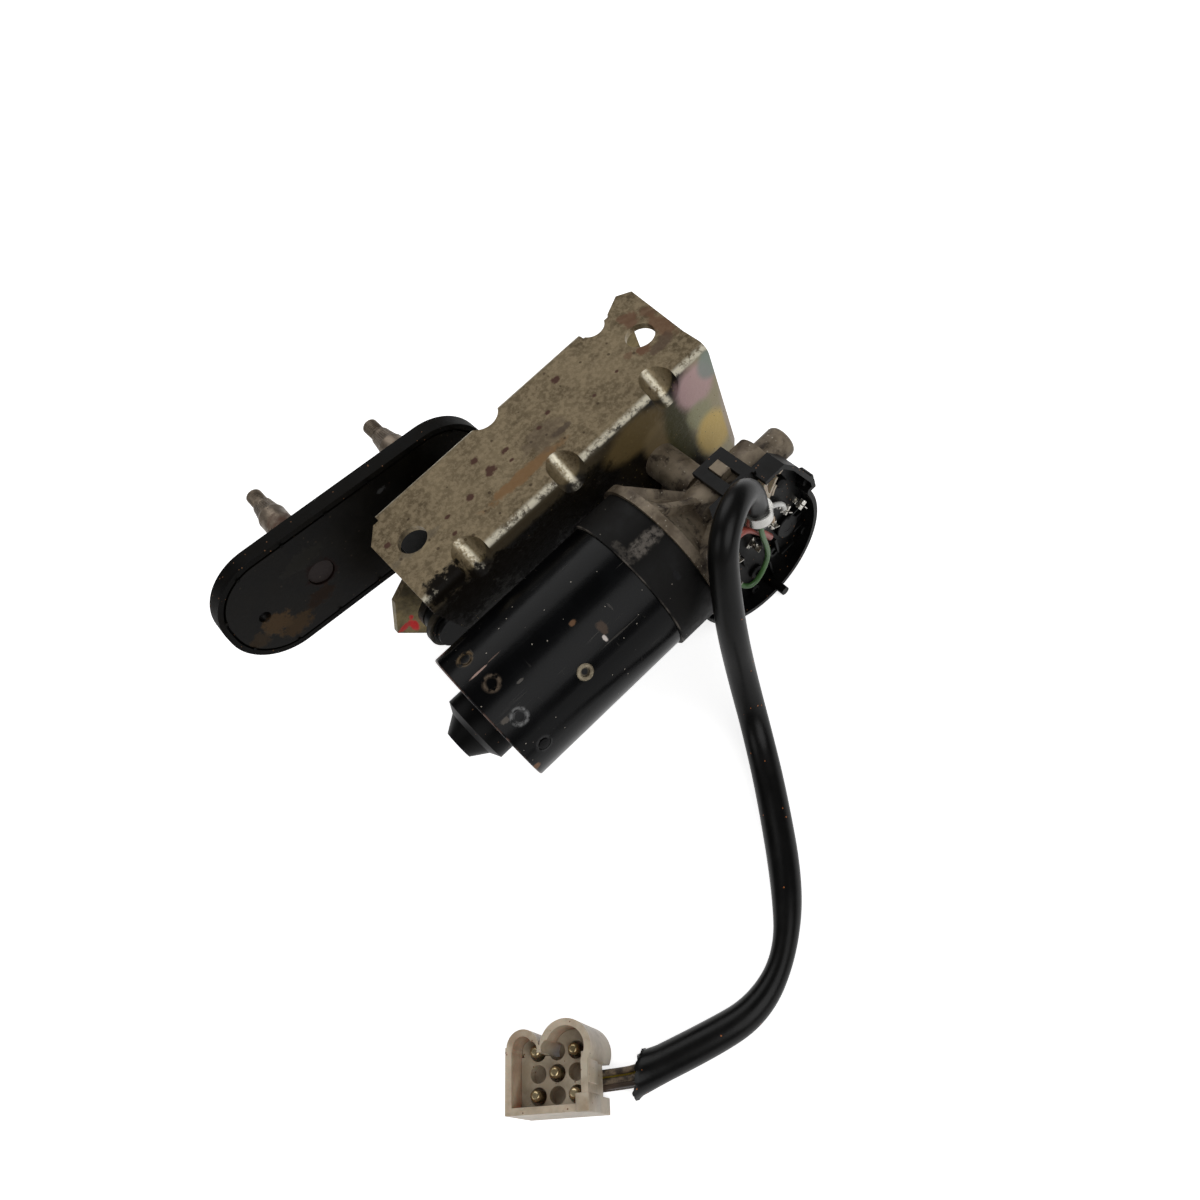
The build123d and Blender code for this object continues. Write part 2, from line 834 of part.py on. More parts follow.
save(gear_cover.part, "gear_cover")

# Bracket: pressed channel, its flange upward, a web against the gearbox legs, a lobed far wall,
# with round darts pressed across the web's bend
dart_axis = dart_run / 2 - dart_r / sqrt(2)
dart_reach = dart_run + dart_r


def dart_plane(x):
    return Plane(origin=(x, web_near + dart_axis, flange_top - dart_axis), x_dir=(1, 0, 0), z_dir=(0, 1, 1))


with BuildPart() as darts:
    for dart_x in dart_places:
        with BuildSketch(dart_plane(dart_x)):
            Circle(dart_r + sheet)
        extrude(amount=dart_reach, both=True)
    with BuildSketch(along(0)):
        Polygon(
            (web_near + sheet / 2, flange_top - sheet / 2), (web_near + sheet / 2, web_side_z),
            (mount_y, flange_top - sheet / 2), align=None,
        )
    extrude(amount=flange_right, mode=Mode.INTERSECT)

with BuildPart() as bracket:
    with BuildSketch(Plane.XY.offset(flange_top - sheet)):
        Polygon(
            (flange_left, web_near), (flange_left, wall_far - corner_short),
            (flange_left + corner_run, wall_far - corner_in), (wall_from, wall_far - corner_in),
            (wall_from, wall_far), (wall_to, wall_far), (wall_to, wall_far - corner_in),
            (wall_to + corner_short, wall_far - corner_in), (mount_right_x, wall_far - ear_in),
            (mount_right_x + ear_w, wall_far), (flange_right, wall_far - ear_end_in),
            (web_right, mount_y - corner_short), (web_right, web_near), align=None,
        )
    extrude(amount=sheet)
    with BuildSketch(across(web_near)):
        Polygon(
            (flange_left, flange_top), (flange_left, web_corner_z), (wall_from, web_side_z),
            (out_x - web_step, web_mid_z), (out_x - web_step + web_foot / 2, web_knee_z),
            (out_x - web_foot, web_foot_z), (out_x + web_foot, web_foot_z), (out_x + web_flare, web_knee_z),
            (web_right, web_right_z), (web_right, flange_top), align=None,
        )
    extrude(amount=-sheet)
    with BuildSketch(across(wall_far - sheet)):
        Polygon(
            (wall_from, flange_top), (wall_to, flange_top), (wall_to, wall_left_z),
            (out_x + wall_right_over, wall_right_z), (out_x + wall_right_over, wall_right_low),
            (wall_to, wall_mid_z), (wall_low_x, wall_low_z), (lobe_x, lobe_z), (lobe_tip_x, lobe_tip_z),
            (lobe_left, lobe_left_z), (lobe_top_x, lobe_top_z), (wall_from, lobe_neck_z), align=None,
        )
    extrude(amount=-sheet)
    for bend_y, bend_z, bend_r in (
        (web_near + sheet, flange_top - sheet, bend_in_r), (wall_far - sheet, flange_top - sheet, bend_in_r),
        (web_near, flange_top, bend_out_r), (wall_far, flange_top, bend_out_r),
    ):
        bend_edges = bracket.edges().filter_by(Axis.X).filter_by_position(Axis.Z, bend_z - 0.1, bend_z + 0.1)
        fillet(bend_edges.filter_by_position(Axis.Y, bend_y - 0.1, bend_y + 0.1), bend_r)
    with BuildSketch(Plane.XY.offset(flange_top)):
        with Locations((mount_left_x, mount_y), (mount_right_x, mount_y)):
            Circle(mount_r)
    extrude(amount=-sheet, mode=Mode.SUBTRACT)
    with BuildSketch(Plane.XY.offset(flange_top)):
        with Locations((notch_x, wall_far)):
            Circle(notch_r)
        with Locations((wall_to + ear_notch_over, wall_far - ear_notch_in)):
            Circle(ear_notch_r)
    extrude(amount=-2 * notch_r, mode=Mode.SUBTRACT)
    add(darts.part)
    for dart_x in dart_places:
        with BuildSketch(dart_plane(dart_x)):
            Circle(dart_r)
        extrude(amount=dart_reach, both=True, mode=Mode.SUBTRACT)
    with BuildSketch(across(web_near)):
        with Locations((out_x, out_z)):
            Circle(hub_r + 0.5)
        for angle in leg_angles:
            with Locations((out_x + leg_at * cos(radians(angle)), out_z + leg_at * sin(radians(angle)))):
                Circle(leg_screw_r + 0.3)
    extrude(amount=-sheet, mode=Mode.SUBTRACT)
    with BuildSketch(across(wall_far - sheet)):
        with Locations((drive_x, drive_z)):
            Circle(tube_r)
    extrude(amount=-sheet, mode=Mode.SUBTRACT)
save(bracket.part, "bracket")

with BuildPart() as leg_screws:
    for angle in leg_angles:
        leg_x = out_x + leg_at * cos(radians(angle))
        leg_z = out_z + leg_at * sin(radians(angle))
        with BuildSketch(across(web_near - leg_thread)):
            with Locations((leg_x, leg_z)):
                Circle(leg_screw_r)
        extrude(amount=-leg_thread - sheet)
        with BuildSketch(across(web_near + sheet)):
            with Locations((leg_x, leg_z)):
                RegularPolygon(leg_head, 6, major_radius=False)
        extrude(amount=-leg_head)
save(leg_screws.part, "leg_screws")

# Drive lever on the rear of the driven spindle, with its ball stud facing the link
ball_x = drive_x + lever_len * cos(radians(lever_rest))
ball_z = drive_z + lever_len * sin(radians(lever_rest))
lever_ball_y = lever_near - lever_ball_in
with BuildPart() as drive_lever:
    with BuildSketch(across(lever_near)):
        with Locations((drive_x, drive_z)):
            Circle(lever_hub_r)
        with Locations((ball_x, ball_z)):
            Circle(lever_end_r)
        make_hull()
        with Locations((drive_x, drive_z)):
            Circle(spindle_r, mode=Mode.SUBTRACT)
        with Locations((ball_x, ball_z)):
            Circle(stud_neck_r, mode=Mode.SUBTRACT)
    extrude(amount=-lever_thick)
save(drive_lever.part, "drive_lever")

with BuildPart() as lever_stud:
    with BuildSketch(across(lever_ball_y)):
        with Locations((ball_x, ball_z)):
            Circle(stud_neck_r)
    extrude(amount=-(lever_near + lever_thick - lever_ball_y))
    with Locations((ball_x, lever_ball_y, ball_z)):
        Sphere(ball_stud_r)
save(lever_stud.part, "lever_stud")

# Link rod with a socket at each end
with BuildPart() as link_rod:
    with BuildSketch(across(link_near)):
        with Locations((ball_x, ball_z), (pin_x, out_z)):
            Circle(link_eye_r)
        with BuildLine():
            Line((ball_x, ball_z), (pin_x, out_z))
        with Locations(Location(((ball_x + pin_x) / 2, (ball_z + out_z) / 2),
                                (0, 0, degrees(atan2(out_z - ball_z, pin_x - ball_x))))):
            Rectangle(hypot(pin_x - ball_x, out_z - ball_z), link_w)
        with Locations((ball_x, ball_z), (pin_x, out_z)):
            Circle(socket_r, mode=Mode.SUBTRACT)
    extrude(amount=-link_thick)
save(link_rod.part, "link_rod")

with BuildPart() as link_sockets:
    for seat_x, seat_z, near, far, centre in (
        (ball_x, ball_z, lever_ball_y - socket_deep, lever_near - stud_gap, lever_ball_y),
        (pin_x, out_z, ball_top + ball_gap, lever_near - lever_thick, ball_top - stud_gap),
    ):
        with BuildSketch(across(near)):
            with Locations((seat_x, seat_z)):
                Circle(socket_r)
        extrude(amount=-(far - near))
        with BuildSketch(across(link_near - socket_flange)):
            with Locations((seat_x, seat_z)):
                Circle(socket_flange_r)
        extrude(amount=-socket_flange)
        with Locations((seat_x, centre, seat_z)):
            Sphere(ball_stud_r + ball_gap, mode=Mode.SUBTRACT)
    with BuildSketch(across(lever_ball_y)):
        with Locations((ball_x, ball_z)):
            Circle(stud_neck_r + ball_gap)
    extrude(amount=-(lever_near - lever_ball_y), mode=Mode.SUBTRACT)
save(link_sockets.part, "link_sockets")

# Spindles: plain shaft in two bushes, a collar seated on the housing, a cone and a thread
with BuildPart() as drive_spindle:
    with BuildSketch(Plane.XY.offset(drive_z)):
        with BuildLine():
            Polyline(
                (drive_x, lever_near - spindle_rear), (drive_x + spindle_r, lever_near - spindle_rear),
                (drive_x + spindle_r, collar_from), (drive_x + collar_r, collar_from),
                (drive_x + collar_r, drive_cone_from), (drive_x + cone_r, drive_cone_from),
                (drive_x + cone_tip_r, drive_cone_to), (drive_x + thread_r, drive_cone_to),
                (drive_x + thread_r, drive_tip - tip_chamfer), (drive_x + thread_r - tip_chamfer, drive_tip),
                (drive_x, drive_tip), (drive_x, lever_near - spindle_rear),
            )
        make_face()
    revolve(axis=Axis((drive_x, 0, drive_z), (0, 1, 0)))
save(drive_spindle.part, "drive_spindle")

with BuildPart() as idler_spindle:
    with BuildSketch(Plane.XY.offset(idler_z)):
        with BuildLine():
            Polyline(
                (idler_x, pad_near + idler_inset), (idler_x + spindle_r, pad_near + idler_inset),
                (idler_x + spindle_r, collar_from), (idler_x + collar_r, collar_from),
                (idler_x + collar_r, idler_cone_from), (idler_x + cone_r, idler_cone_from),
                (idler_x + cone_tip_r, idler_cone_to), (idler_x + thread_r, idler_cone_to),
                (idler_x + thread_r, idler_tip - tip_chamfer), (idler_x + thread_r - tip_chamfer, idler_tip),
                (idler_x, idler_tip), (idler_x, pad_near + idler_inset),
            )
        make_face()
    revolve(axis=Axis((idler_x, 0, idler_z), (0, 1, 0)))
save(idler_spindle.part, "idler_spindle")

with BuildPart() as drive_tube:
    with BuildSketch(Plane.XY.offset(drive_z)):
        with BuildLine():
            Polyline(
                (drive_x, tube_near), (drive_x + tube_r, tube_near), (drive_x + tube_r, wall_far),
                (drive_x + tube_flange_r, wall_far), (drive_x + tube_flange_r, wall_far + tube_flange),
                (drive_x + tube_r, wall_far + tube_flange), (drive_x + tube_r, pad_far),
                (drive_x + shoulder_r, pad_far), (drive_x + shoulder_r, pad_far + shoulder_len),
                (drive_x + nose_r, tube_end), (drive_x, tube_end), (drive_x, tube_near),
            )
        make_face()
    revolve(axis=Axis((drive_x, 0, drive_z), (0, 1, 0)))
    with BuildSketch(across(tube_near)):
        with Locations((drive_x, drive_z)):
            Circle(spindle_r + spindle_bush_wall)
    extrude(amount=-(tube_end - tube_near), mode=Mode.SUBTRACT)
save(drive_tube.part, "drive_tube")

with BuildPart() as idler_housing:
    with BuildSketch(Plane.XY.offset(idler_z)):
        with BuildLine():
            Polyline(
                (idler_x, housing_near), (idler_x + tube_r, housing_near), (idler_x + tube_r, pad_far),
                (idler_x + shoulder_r, pad_far), (idler_x + shoulder_r, pad_far + shoulder_len),
                (idler_x + nose_r, tube_end), (idler_x, tube_end), (idler_x, housing_near),
            )
        make_face()
    revolve(axis=Axis((idler_x, 0, idler_z), (0, 1, 0)))
    with BuildSketch(across(housing_near)):
        with Locations((idler_x, idler_z)):
            Circle(spindle_r + spindle_bush_wall)
    extrude(amount=-(tube_end - housing_near), mode=Mode.SUBTRACT)
save(idler_housing.part, "idler_housing")

with BuildPart() as spindle_bushes:
    for bush_x, bush_z, bush_y in (
        (drive_x, drive_z, tube_near), (drive_x, drive_z, tube_end - spindle_bush_len),
        (idler_x, idler_z, housing_near), (idler_x, idler_z, tube_end - spindle_bush_len),
    ):
        with BuildSketch(across(bush_y)):
            with Locations((bush_x, bush_z)):
                Circle(spindle_r + spindle_bush_wall)
                Circle(spindle_r + spindle_gap, mode=Mode.SUBTRACT)
        extrude(amount=-spindle_bush_len)
save(spindle_bushes.part, "spindle_bushes")

# Spindle plate: long round-ended steel plate let into a rubber surround, a little turned in its own plane
def pad_plane(y):
    return Plane(origin=(0, y, 0), x_dir=(pad_cos, 0, -pad_sin), z_dir=(0, -1, 0))


def pad_outline(inset):
    with Locations(((pad_left + pad_right) / 2, pad_z)):
        RectangleRounded(pad_right - pad_left - 2 * inset, 2 * (pad_half - inset), pad_corner - inset)


with BuildPart() as spindle_plate:
    with BuildSketch(pad_plane(pad_near)):
        pad_outline(plate_inset)
    extrude(amount=-pad_plate)
    with BuildSketch(across(pad_near)):
        with Locations((pad_hole_x, pad_hole_z)):
            Circle(pad_hole_r)
    extrude(amount=-pad_plate, mode=Mode.SUBTRACT)
    with BuildSketch(across(pad_near)):
        with Locations((drive_x, drive_z)):
            Circle(tube_r)
        with Locations((idler_x, idler_z)):
            Circle(idler_hole_r)
    extrude(amount=-pad_plate, mode=Mode.SUBTRACT)
save(spindle_plate.part, "spindle_plate")

with BuildPart() as pad_gasket:
    with BuildSketch(pad_plane(pad_near)):
        pad_outline(0)
    extrude(amount=-pad_thick)
    with BuildSketch(pad_plane(pad_near)):
        pad_outline(gasket_lip)
    extrude(amount=-pad_plate, mode=Mode.SUBTRACT)
    with BuildSketch(across(pad_near)):
        with Locations((pad_hole_x, pad_hole_z)):
            Circle(pad_hole_r)
    extrude(amount=-pad_thick, mode=Mode.SUBTRACT)
    with BuildSketch(across(pad_near)):
        with Locations((drive_x, drive_z), (idler_x, idler_z)):
            Circle(tube_r)
    extrude(amount=-pad_thick, mode=Mode.SUBTRACT)
save(pad_gasket.part, "pad_gasket")

# Cable: sleeve from the cover round the front of the motor and over the floor
lie_z = floor_z + sleeve_r + sleeve_lift
sleeve_route = [
    (out_x + 3.8, -19.5, 4), (out_x + 4.3, -20.5, 16), (out_x, -23.3, 28.5), (out_x - 10.5, -28.7, 35.5),
    (out_x - 22.5, -34.8, 32.5), (out_x - 28.7, -38.4, 21), (88.8, -45.1, -0.4), (83.3, -49.6, -27.1),
    (75.1, -60.5, -48.3), (60.4, -82.5, lie_z), (38.4, -112.5, lie_z), (20, -129, lie_z), (0, -135, lie_z),
    (-20, -130.5, lie_z), (-45.1, -121.8, lie_z),
]


def bend_radii(points):
    runs = [hypot(*(b - a for a, b in zip(p, q))) for p, q in zip(points, points[1:])]
    radii = []
    for k in range(1, len(points) - 1):
        into = [(points[k][n] - points[k - 1][n]) / runs[k - 1] for n in range(3)]
        out = [(points[k + 1][n] - points[k][n]) / runs[k] for n in range(3)]
        cosine = sum(a * b for a, b in zip(into, out))
        turn = atan2(hypot(*(b - cosine * a for a, b in zip(into, out))), cosine)
        radii.append(0.45 * min(runs[k - 1], runs[k]) / tan(turn / 2))
        print("run", round(runs[k - 1], 1), "turn", round(degrees(turn), 1), "radius", round(radii[-1], 1))
    return radii


with BuildPart() as cable_sleeve:
    with BuildLine() as sleeve_path:
        FilletPolyline(*sleeve_route, radius=bend_radii(sleeve_route))
    with BuildSketch(Plane(origin=sleeve_path.line @ 0, z_dir=sleeve_path.line % 0)):
        Circle(sleeve_r)
        Circle(sleeve_bore, mode=Mode.SUBTRACT)
    sweep(transition=Transition.ROUND)
sleeve_section = pi * (sleeve_r ** 2 - sleeve_bore ** 2)
sleeve_len = sum(edge.length for edge in sleeve_path.edges())
print("sleeve length", round(sleeve_len, 1), "volume", round(cable_sleeve.part.volume),
      "section x length", round(sleeve_section * sleeve_len))
save(cable_sleeve.part, "cable_sleeve")

# Connector: square nylon housing standing on its back, mating face up, wires out at its foot
conn_z = floor_z + 1
conn_frame = Plane(origin=(conn_x, conn_y, conn_z), x_dir=(cos(radians(conn_turn)), sin(radians(conn_turn)), 0),
                   z_dir=(0, 0, 1))
pin_spots = [(1, 2.5), (1 - pin_pitch, 2.5 - pin_pitch), (1 + pin_pitch, 2.5 - pin_pitch),
             (1 - pin_pitch, 2.5 + pin_pitch), (1 + pin_pitch, 2.5 + pin_pitch)]
with BuildPart() as connector_housing:
    with BuildSketch(conn_frame) as conn_outline:
        Rectangle(conn_w, conn_d)
        with Locations((-8.8, 10.7)):
            Circle(left_lobe_r)
        with Locations((7.1, 9.7)):
            Circle(right_lobe_r)
    extrude(amount=conn_h)
    with BuildSketch(conn_frame.offset(conn_floor)):
        offset(conn_outline.sketch_local, amount=-conn_wall)
    extrude(amount=conn_h, mode=Mode.SUBTRACT)
    with BuildSketch(conn_frame):
        with Locations((1, 2.5)):
            with GridLocations(pin_pitch, pin_pitch, 3, 3):
                Circle(pin_r + pin_hole_gap)
    extrude(amount=conn_h, mode=Mode.SUBTRACT)
    with BuildSketch(conn_frame):
        with Locations((conn_w / 2, 0)):
            Rectangle(2 * conn_w - 8, 11)
    extrude(amount=8, mode=Mode.SUBTRACT)
save(connector_housing.part, "connector_housing")

with BuildPart() as connector_pins:
    with BuildSketch(conn_frame.offset(pin_foot)):
        with Locations(*pin_spots):
            Circle(pin_r + pin_hole_gap)
    extrude(amount=2)
    with BuildSketch(conn_frame.offset(pin_foot)):
        with Locations(*pin_spots):
            Circle(pin_r)
    extrude(amount=conn_floor - pin_foot + pin_len)
    fillet(connector_pins.edges().sort_by(Axis.Z)[-5:], 1.2)
save(connector_pins.part, "connector_pins")

# Loose wires between the cut end of the sleeve and the foot of the connector
wire_from = Vector(*sleeve_route[-1]) + Vector(6, -2, 0)
wire_to = conn_frame.from_local_coords(Vector(8, 0, 4))
wire_mid = conn_frame.from_local_coords(Vector(conn_w / 2 + 4, 0.5, 4))
with BuildPart() as loose_wires:
    for side, lift in ((-2.6, -1.4), (0, -1.6), (2.6, -1.4), (-1.4, 1.1), (1.4, 1.1)):
        step = Vector(0.25 * side, 0.97 * side, lift)
        with BuildLine() as wire_path:
            FilletPolyline(wire_from + step, Vector(*sleeve_route[-1]) + step, wire_mid + step, wire_to + step,
                           radius=2.5)
        with BuildSketch(Plane(origin=wire_path.wires()[0] @ 0, z_dir=wire_path.wires()[0] % 0)):
            Circle(wire_r)
        sweep(path=wire_path.wires()[0], transition=Transition.ROUND)
save(loose_wires.part, "loose_wires")

# Clamp round the start of the sleeve, its terminals and the short wires in the tray
clamp_dir = Vector(*sleeve_route[1]) - Vector(*sleeve_route[0])
clamp_at = Vector(*sleeve_route[0]) + clamp_dir.normalized()
with BuildPart() as cable_clamp:
    with BuildSketch(Plane(origin=clamp_at, z_dir=clamp_dir)):
        Circle(sleeve_r + clamp_thick)
        Circle(sleeve_r, mode=Mode.SUBTRACT)
    extrude(amount=clamp_len)
save(cable_clamp.part, "cable_clamp")

with BuildPart() as terminals:
    for ahead, down in ((-8, -20), (2, -24), (13, -20), (21, -19), (29, -25), (-12, -34)):
        with BuildSketch(across(tray_y)):
            with Locations((out_x + ahead, down)):
                Rectangle(terminal_w, terminal_h)
        extrude(amount=clamp_thick)
        with BuildSketch(across(tray_y)):
            with Locations((out_x + ahead, down)):
                Rectangle(clamp_thick, terminal_h)
        extrude(amount=terminal_w)
save(terminals.part, "terminals")


def wire_in_cover(points):
    with BuildPart() as wire:
        with BuildLine() as path:
            Spline(*[(out_x + ahead, side, up) for ahead, side, up in points])
        with BuildSketch(Plane(origin=path.wires()[0] @ 0, z_dir=path.wires()[0] % 0)):
            Circle(wire_r)
        sweep(path=path.wires()[0])
    return wire.part


save(wire_in_cover([(6, -18, 2.5), (12, -16.5, -4), (17, -15.5, -9), (20, -14, -17)]), "wire_white")
save(wire_in_cover([(3.8, -18.5, 2.5), (9, -17, -7), (12, -15.5, -12), (13, -14, -18)]), "wire_beige")
save(wire_in_cover([(1.6, -18.5, 2.5), (-4, -18.5, -1), (-8, -16, -9), (-8, -14, -18)]), "wire_red")
green_run = [(3.2, -22, 2.5), (3.5, -19.5, -20), (1, -17.5, -35), (-7, -17, -40), (-12, -14, -35)]
save(wire_in_cover(green_run), "wire_green")
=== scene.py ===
import math
import bpy
import bmesh
from mathutils import Matrix, Vector


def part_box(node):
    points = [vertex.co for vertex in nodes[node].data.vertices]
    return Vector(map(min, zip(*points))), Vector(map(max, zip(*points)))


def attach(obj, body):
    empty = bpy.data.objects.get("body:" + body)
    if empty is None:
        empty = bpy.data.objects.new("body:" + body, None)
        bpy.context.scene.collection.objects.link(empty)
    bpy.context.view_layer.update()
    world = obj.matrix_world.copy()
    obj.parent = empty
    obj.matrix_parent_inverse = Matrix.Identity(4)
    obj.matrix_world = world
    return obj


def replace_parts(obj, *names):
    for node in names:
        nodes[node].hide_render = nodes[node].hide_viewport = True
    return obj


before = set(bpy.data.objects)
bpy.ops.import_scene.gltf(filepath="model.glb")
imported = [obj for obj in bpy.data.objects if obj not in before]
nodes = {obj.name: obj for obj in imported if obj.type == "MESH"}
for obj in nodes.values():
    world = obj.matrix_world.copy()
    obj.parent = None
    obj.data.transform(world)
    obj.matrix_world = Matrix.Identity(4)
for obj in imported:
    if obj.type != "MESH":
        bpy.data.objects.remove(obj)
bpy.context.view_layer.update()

mm = 0.001

# Motor axis in the frame: X along it, the yoke's rear end at yokeRear
yokeLow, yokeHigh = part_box("sealing_band")
axisY = (yokeLow[1] + yokeHigh[1]) / 2
axisZ = (yokeLow[2] + yokeHigh[2]) / 2
yokeLength = 94 * mm
yokeRear = yokeHigh[0] - yokeLength
origin = Vector((yokeRear, axisY, axisZ))


def spot(x, y, z):  # millimetres from the yoke's rear centre to metres in the frame
    return origin + Vector((x, y, z)) * mm


def addObject(name, data):
    made = bpy.data.objects.new(name, data)
    bpy.context.scene.collection.objects.link(made)
    return made


def turns(sides):  # the angles of a full ring
    return [k * math.tau / sides for k in range(sides)]


def arcTurns(start, sweep, steps):  # the angles of an arc given in degrees
    return [math.radians(start + sweep * k / steps) for k in range(steps + 1)]


# Camera, floor and light
camera = dict(eye=(8.13, -217.24, 338.15), aim=(63.6, 4.0, 0), roll=-31.5, lens=30.83, sensor=36, near=0.01)


def placeCamera(settings):
    data = bpy.data.cameras.new("camera")
    data.lens = settings["lens"]
    data.sensor_width = settings["sensor"]
    data.clip_start = settings["near"]
    eye = addObject("camera", data)
    look = (spot(*settings["aim"]) - spot(*settings["eye"])).normalized()
    turn = look.to_track_quat("-Z", "Y").to_matrix() @ Matrix.Rotation(math.radians(settings["roll"]), 3, "Z")
    eye.matrix_world = Matrix.Translation(spot(*settings["eye"])) @ turn.to_4x4()
    bpy.context.scene.camera = eye


studio = dict(
    floorSize=6, floorColour=(0.9, 0.9, 0.9), floorRough=0.9, floorGlow=0.75, mirrorGlow=0.5,
    worldColour=(0.97, 0.96, 0.95), worldStrength=0.16, worldSeen=1.05,
    key=dict(place=(0.2, -1.3, 1.15), size=1.5, power=13, aim=(0, 0, 0.03)),
    fill=dict(place=(0.4, 1.0, 1.3), size=1.4, power=10, aim=(0, 0, 0.05)),
    rim=dict(place=(-1.1, 0.1, 1.1), size=1.0, power=3, aim=(0, 0, 0.03)),
)


def addLamp(name, settings):
    data = bpy.data.lights.new(name, "AREA")
    data.shape = "DISK"
    data.size = settings["size"]
    data.energy = settings["power"]
    lamp = addObject(name, data)
    place = Vector(settings["place"])
    turn = (Vector(settings["aim"]) - place).to_track_quat("-Z", "Y").to_matrix()
    lamp.matrix_world = Matrix.Translation(place) @ turn.to_4x4()


def backdropGlow(tree, seen, mirrored):  # own light for camera rays, and for glossy or see-through rays
    path = tree.nodes.new("ShaderNodeLightPath").outputs
    bounced = most(tree, path["Is Glossy Ray"], path["Is Transmission Ray"])
    return plus(tree, times(tree, path["Is Camera Ray"], seen), times(tree, bounced, mirrored))


def setStudio(settings):
    for name in ("key", "fill", "rim"):
        addLamp(name, settings[name])
    world = bpy.data.worlds.new("studio")
    world.use_nodes = True
    tree = world.node_tree
    soft = tree.nodes["Background"]
    soft.inputs["Color"].default_value = (*settings["worldColour"], 1)
    seen = tree.nodes.new("ShaderNodeLightPath").outputs["Is Camera Ray"]
    strength = rampNode(tree, seen, 0, 1, settings["worldStrength"], settings["worldSeen"])
    tree.links.new(strength, soft.inputs["Strength"])
    bpy.context.scene.world = world


def addFloor(settings):
    half = settings["floorSize"] / 2
    mesh = bpy.data.meshes.new("floor")
    mesh.from_pydata([(-half, -half, 0), (half, -half, 0), (half, half, 0), (-half, half, 0)], [], [(0, 1, 2, 3)])
    floor = addObject("floor", mesh)
    material = bpy.data.materials.new("floorPaper")
    material.use_nodes = True
    tree = material.node_tree
    shade = tree.nodes["Principled BSDF"]
    shade.inputs["Base Color"].default_value = (*settings["floorColour"], 1)
    shade.inputs["Roughness"].default_value = settings["floorRough"]
    shade.inputs["Emission Color"].default_value = (1, 1, 1, 1)
    glow = backdropGlow(tree, settings["floorGlow"], settings["mirrorGlow"])
    tree.links.new(glow, shade.inputs["Emission Strength"])
    mesh.materials.append(material)


# Shader groups shared by the finishes
def fillSocket(tree, socket, value):  # a number, a colour or a link
    if isinstance(value, (int, float)):
        socket.default_value = value
    elif isinstance(value, tuple):
        socket.default_value = (*value, 1)
    else:
        tree.links.new(value, socket)


def mathNode(tree, operation, *values):
    node = tree.nodes.new("ShaderNodeMath")
    node.operation = operation
    for socket, value in zip(node.inputs, values):
        fillSocket(tree, socket, value)
    return node.outputs[0]


def times(tree, first, second):
    return mathNode(tree, "MULTIPLY", first, second)


def plus(tree, first, second):
    return mathNode(tree, "ADD", first, second)


def minus(tree, first, second):
    return mathNode(tree, "SUBTRACT", first, second)


def most(tree, first, second):
    return mathNode(tree, "MAXIMUM", first, second)


def vectorNode(tree, operation, first, second=None):
    node = tree.nodes.new("ShaderNodeVectorMath")
    node.operation = operation
    for socket, value in zip(node.inputs, (first, second)):
        if value is not None:
            tree.links.new(value, socket)
    return node.outputs["Value" if operation in ("LENGTH", "DISTANCE") else "Vector"]


def splitNode(tree, vector):  # the outputs X, Y and Z of a vector
    node = tree.nodes.new("ShaderNodeSeparateXYZ")
    tree.links.new(vector, node.inputs[0])
    return node.outputs


def noiseNode(tree, vector, scale, detail=4, rough=0.6, distortion=0.0):
    node = tree.nodes.new("ShaderNodeTexNoise")
    for name, value in (("Scale", scale), ("Detail", detail), ("Roughness", rough), ("Distortion", distortion),
                        ("Vector", vector)):
        fillSocket(tree, node.inputs[name], value)
    return node.outputs["Fac"]


def rampNode(tree, value, low, high, toLow=0.0, toHigh=1.0):
    node = tree.nodes.new("ShaderNodeMapRange")
    node.interpolation_type = "SMOOTHSTEP"
    for name, item in (("Value", value), ("From Min", low), ("From Max", high), ("To Min", toLow), ("To Max", toHigh)):
        fillSocket(tree, node.inputs[name], item)
    return node.outputs["Result"]


def mottle(tree, vector, scale, detail, rough, low, high):  # noise cut to a mask between two levels
    return rampNode(tree, noiseNode(tree, vector, scale, detail, rough), low, high)


def mixColour(tree, mask, under, over):
    node = tree.nodes.new("ShaderNodeMix")
    node.data_type = "RGBA"
    for name, item in (("Factor_Float", mask), ("A_Color", under), ("B_Color", over)):
        fillSocket(tree, next(s for s in node.inputs if s.identifier == name), item)
    return next(s for s in node.outputs if s.identifier == "Result_Color")


def newGroup(name, defaults, build):  # a Vector input, further inputs with their defaults, and one Mask output
    tree = bpy.data.node_groups.new(name, "ShaderNodeTree")
    tree.interface.new_socket("Vector", in_out="INPUT", socket_type="NodeSocketVector")
    for label, value in defaults.items():
        kind = "NodeSocketFloat" if isinstance(value, float) else "NodeSocketVector"
        tree.interface.new_socket(label, in_out="INPUT", socket_type=kind).default_value = value
    tree.interface.new_socket("Mask", in_out="OUTPUT", socket_type="NodeSocketFloat")
    mask = build(tree, tree.nodes.new("NodeGroupInput").outputs)
    tree.links.new(mask, tree.nodes.new("NodeGroupOutput").inputs["Mask"])
    return tree


maskSettings = dict(
    patches=dict(noise=(7, 0.65, 0.3), level=0.82, span=0.64),
    scratches=dict(noise=(1.0, 2, 0.5), level=0.8, span=0.2, soft=0.03, breaks=(35.0, 3, 0.5, 0.48, 0.6)),
    zone=dict(noise=(260.0, 5, 0.65), shake=4.0, edge=(1.05, 0.6)),
    ring=dict(breaks=(450.0, 4, 0.6, 0.36, 0.56)),
)


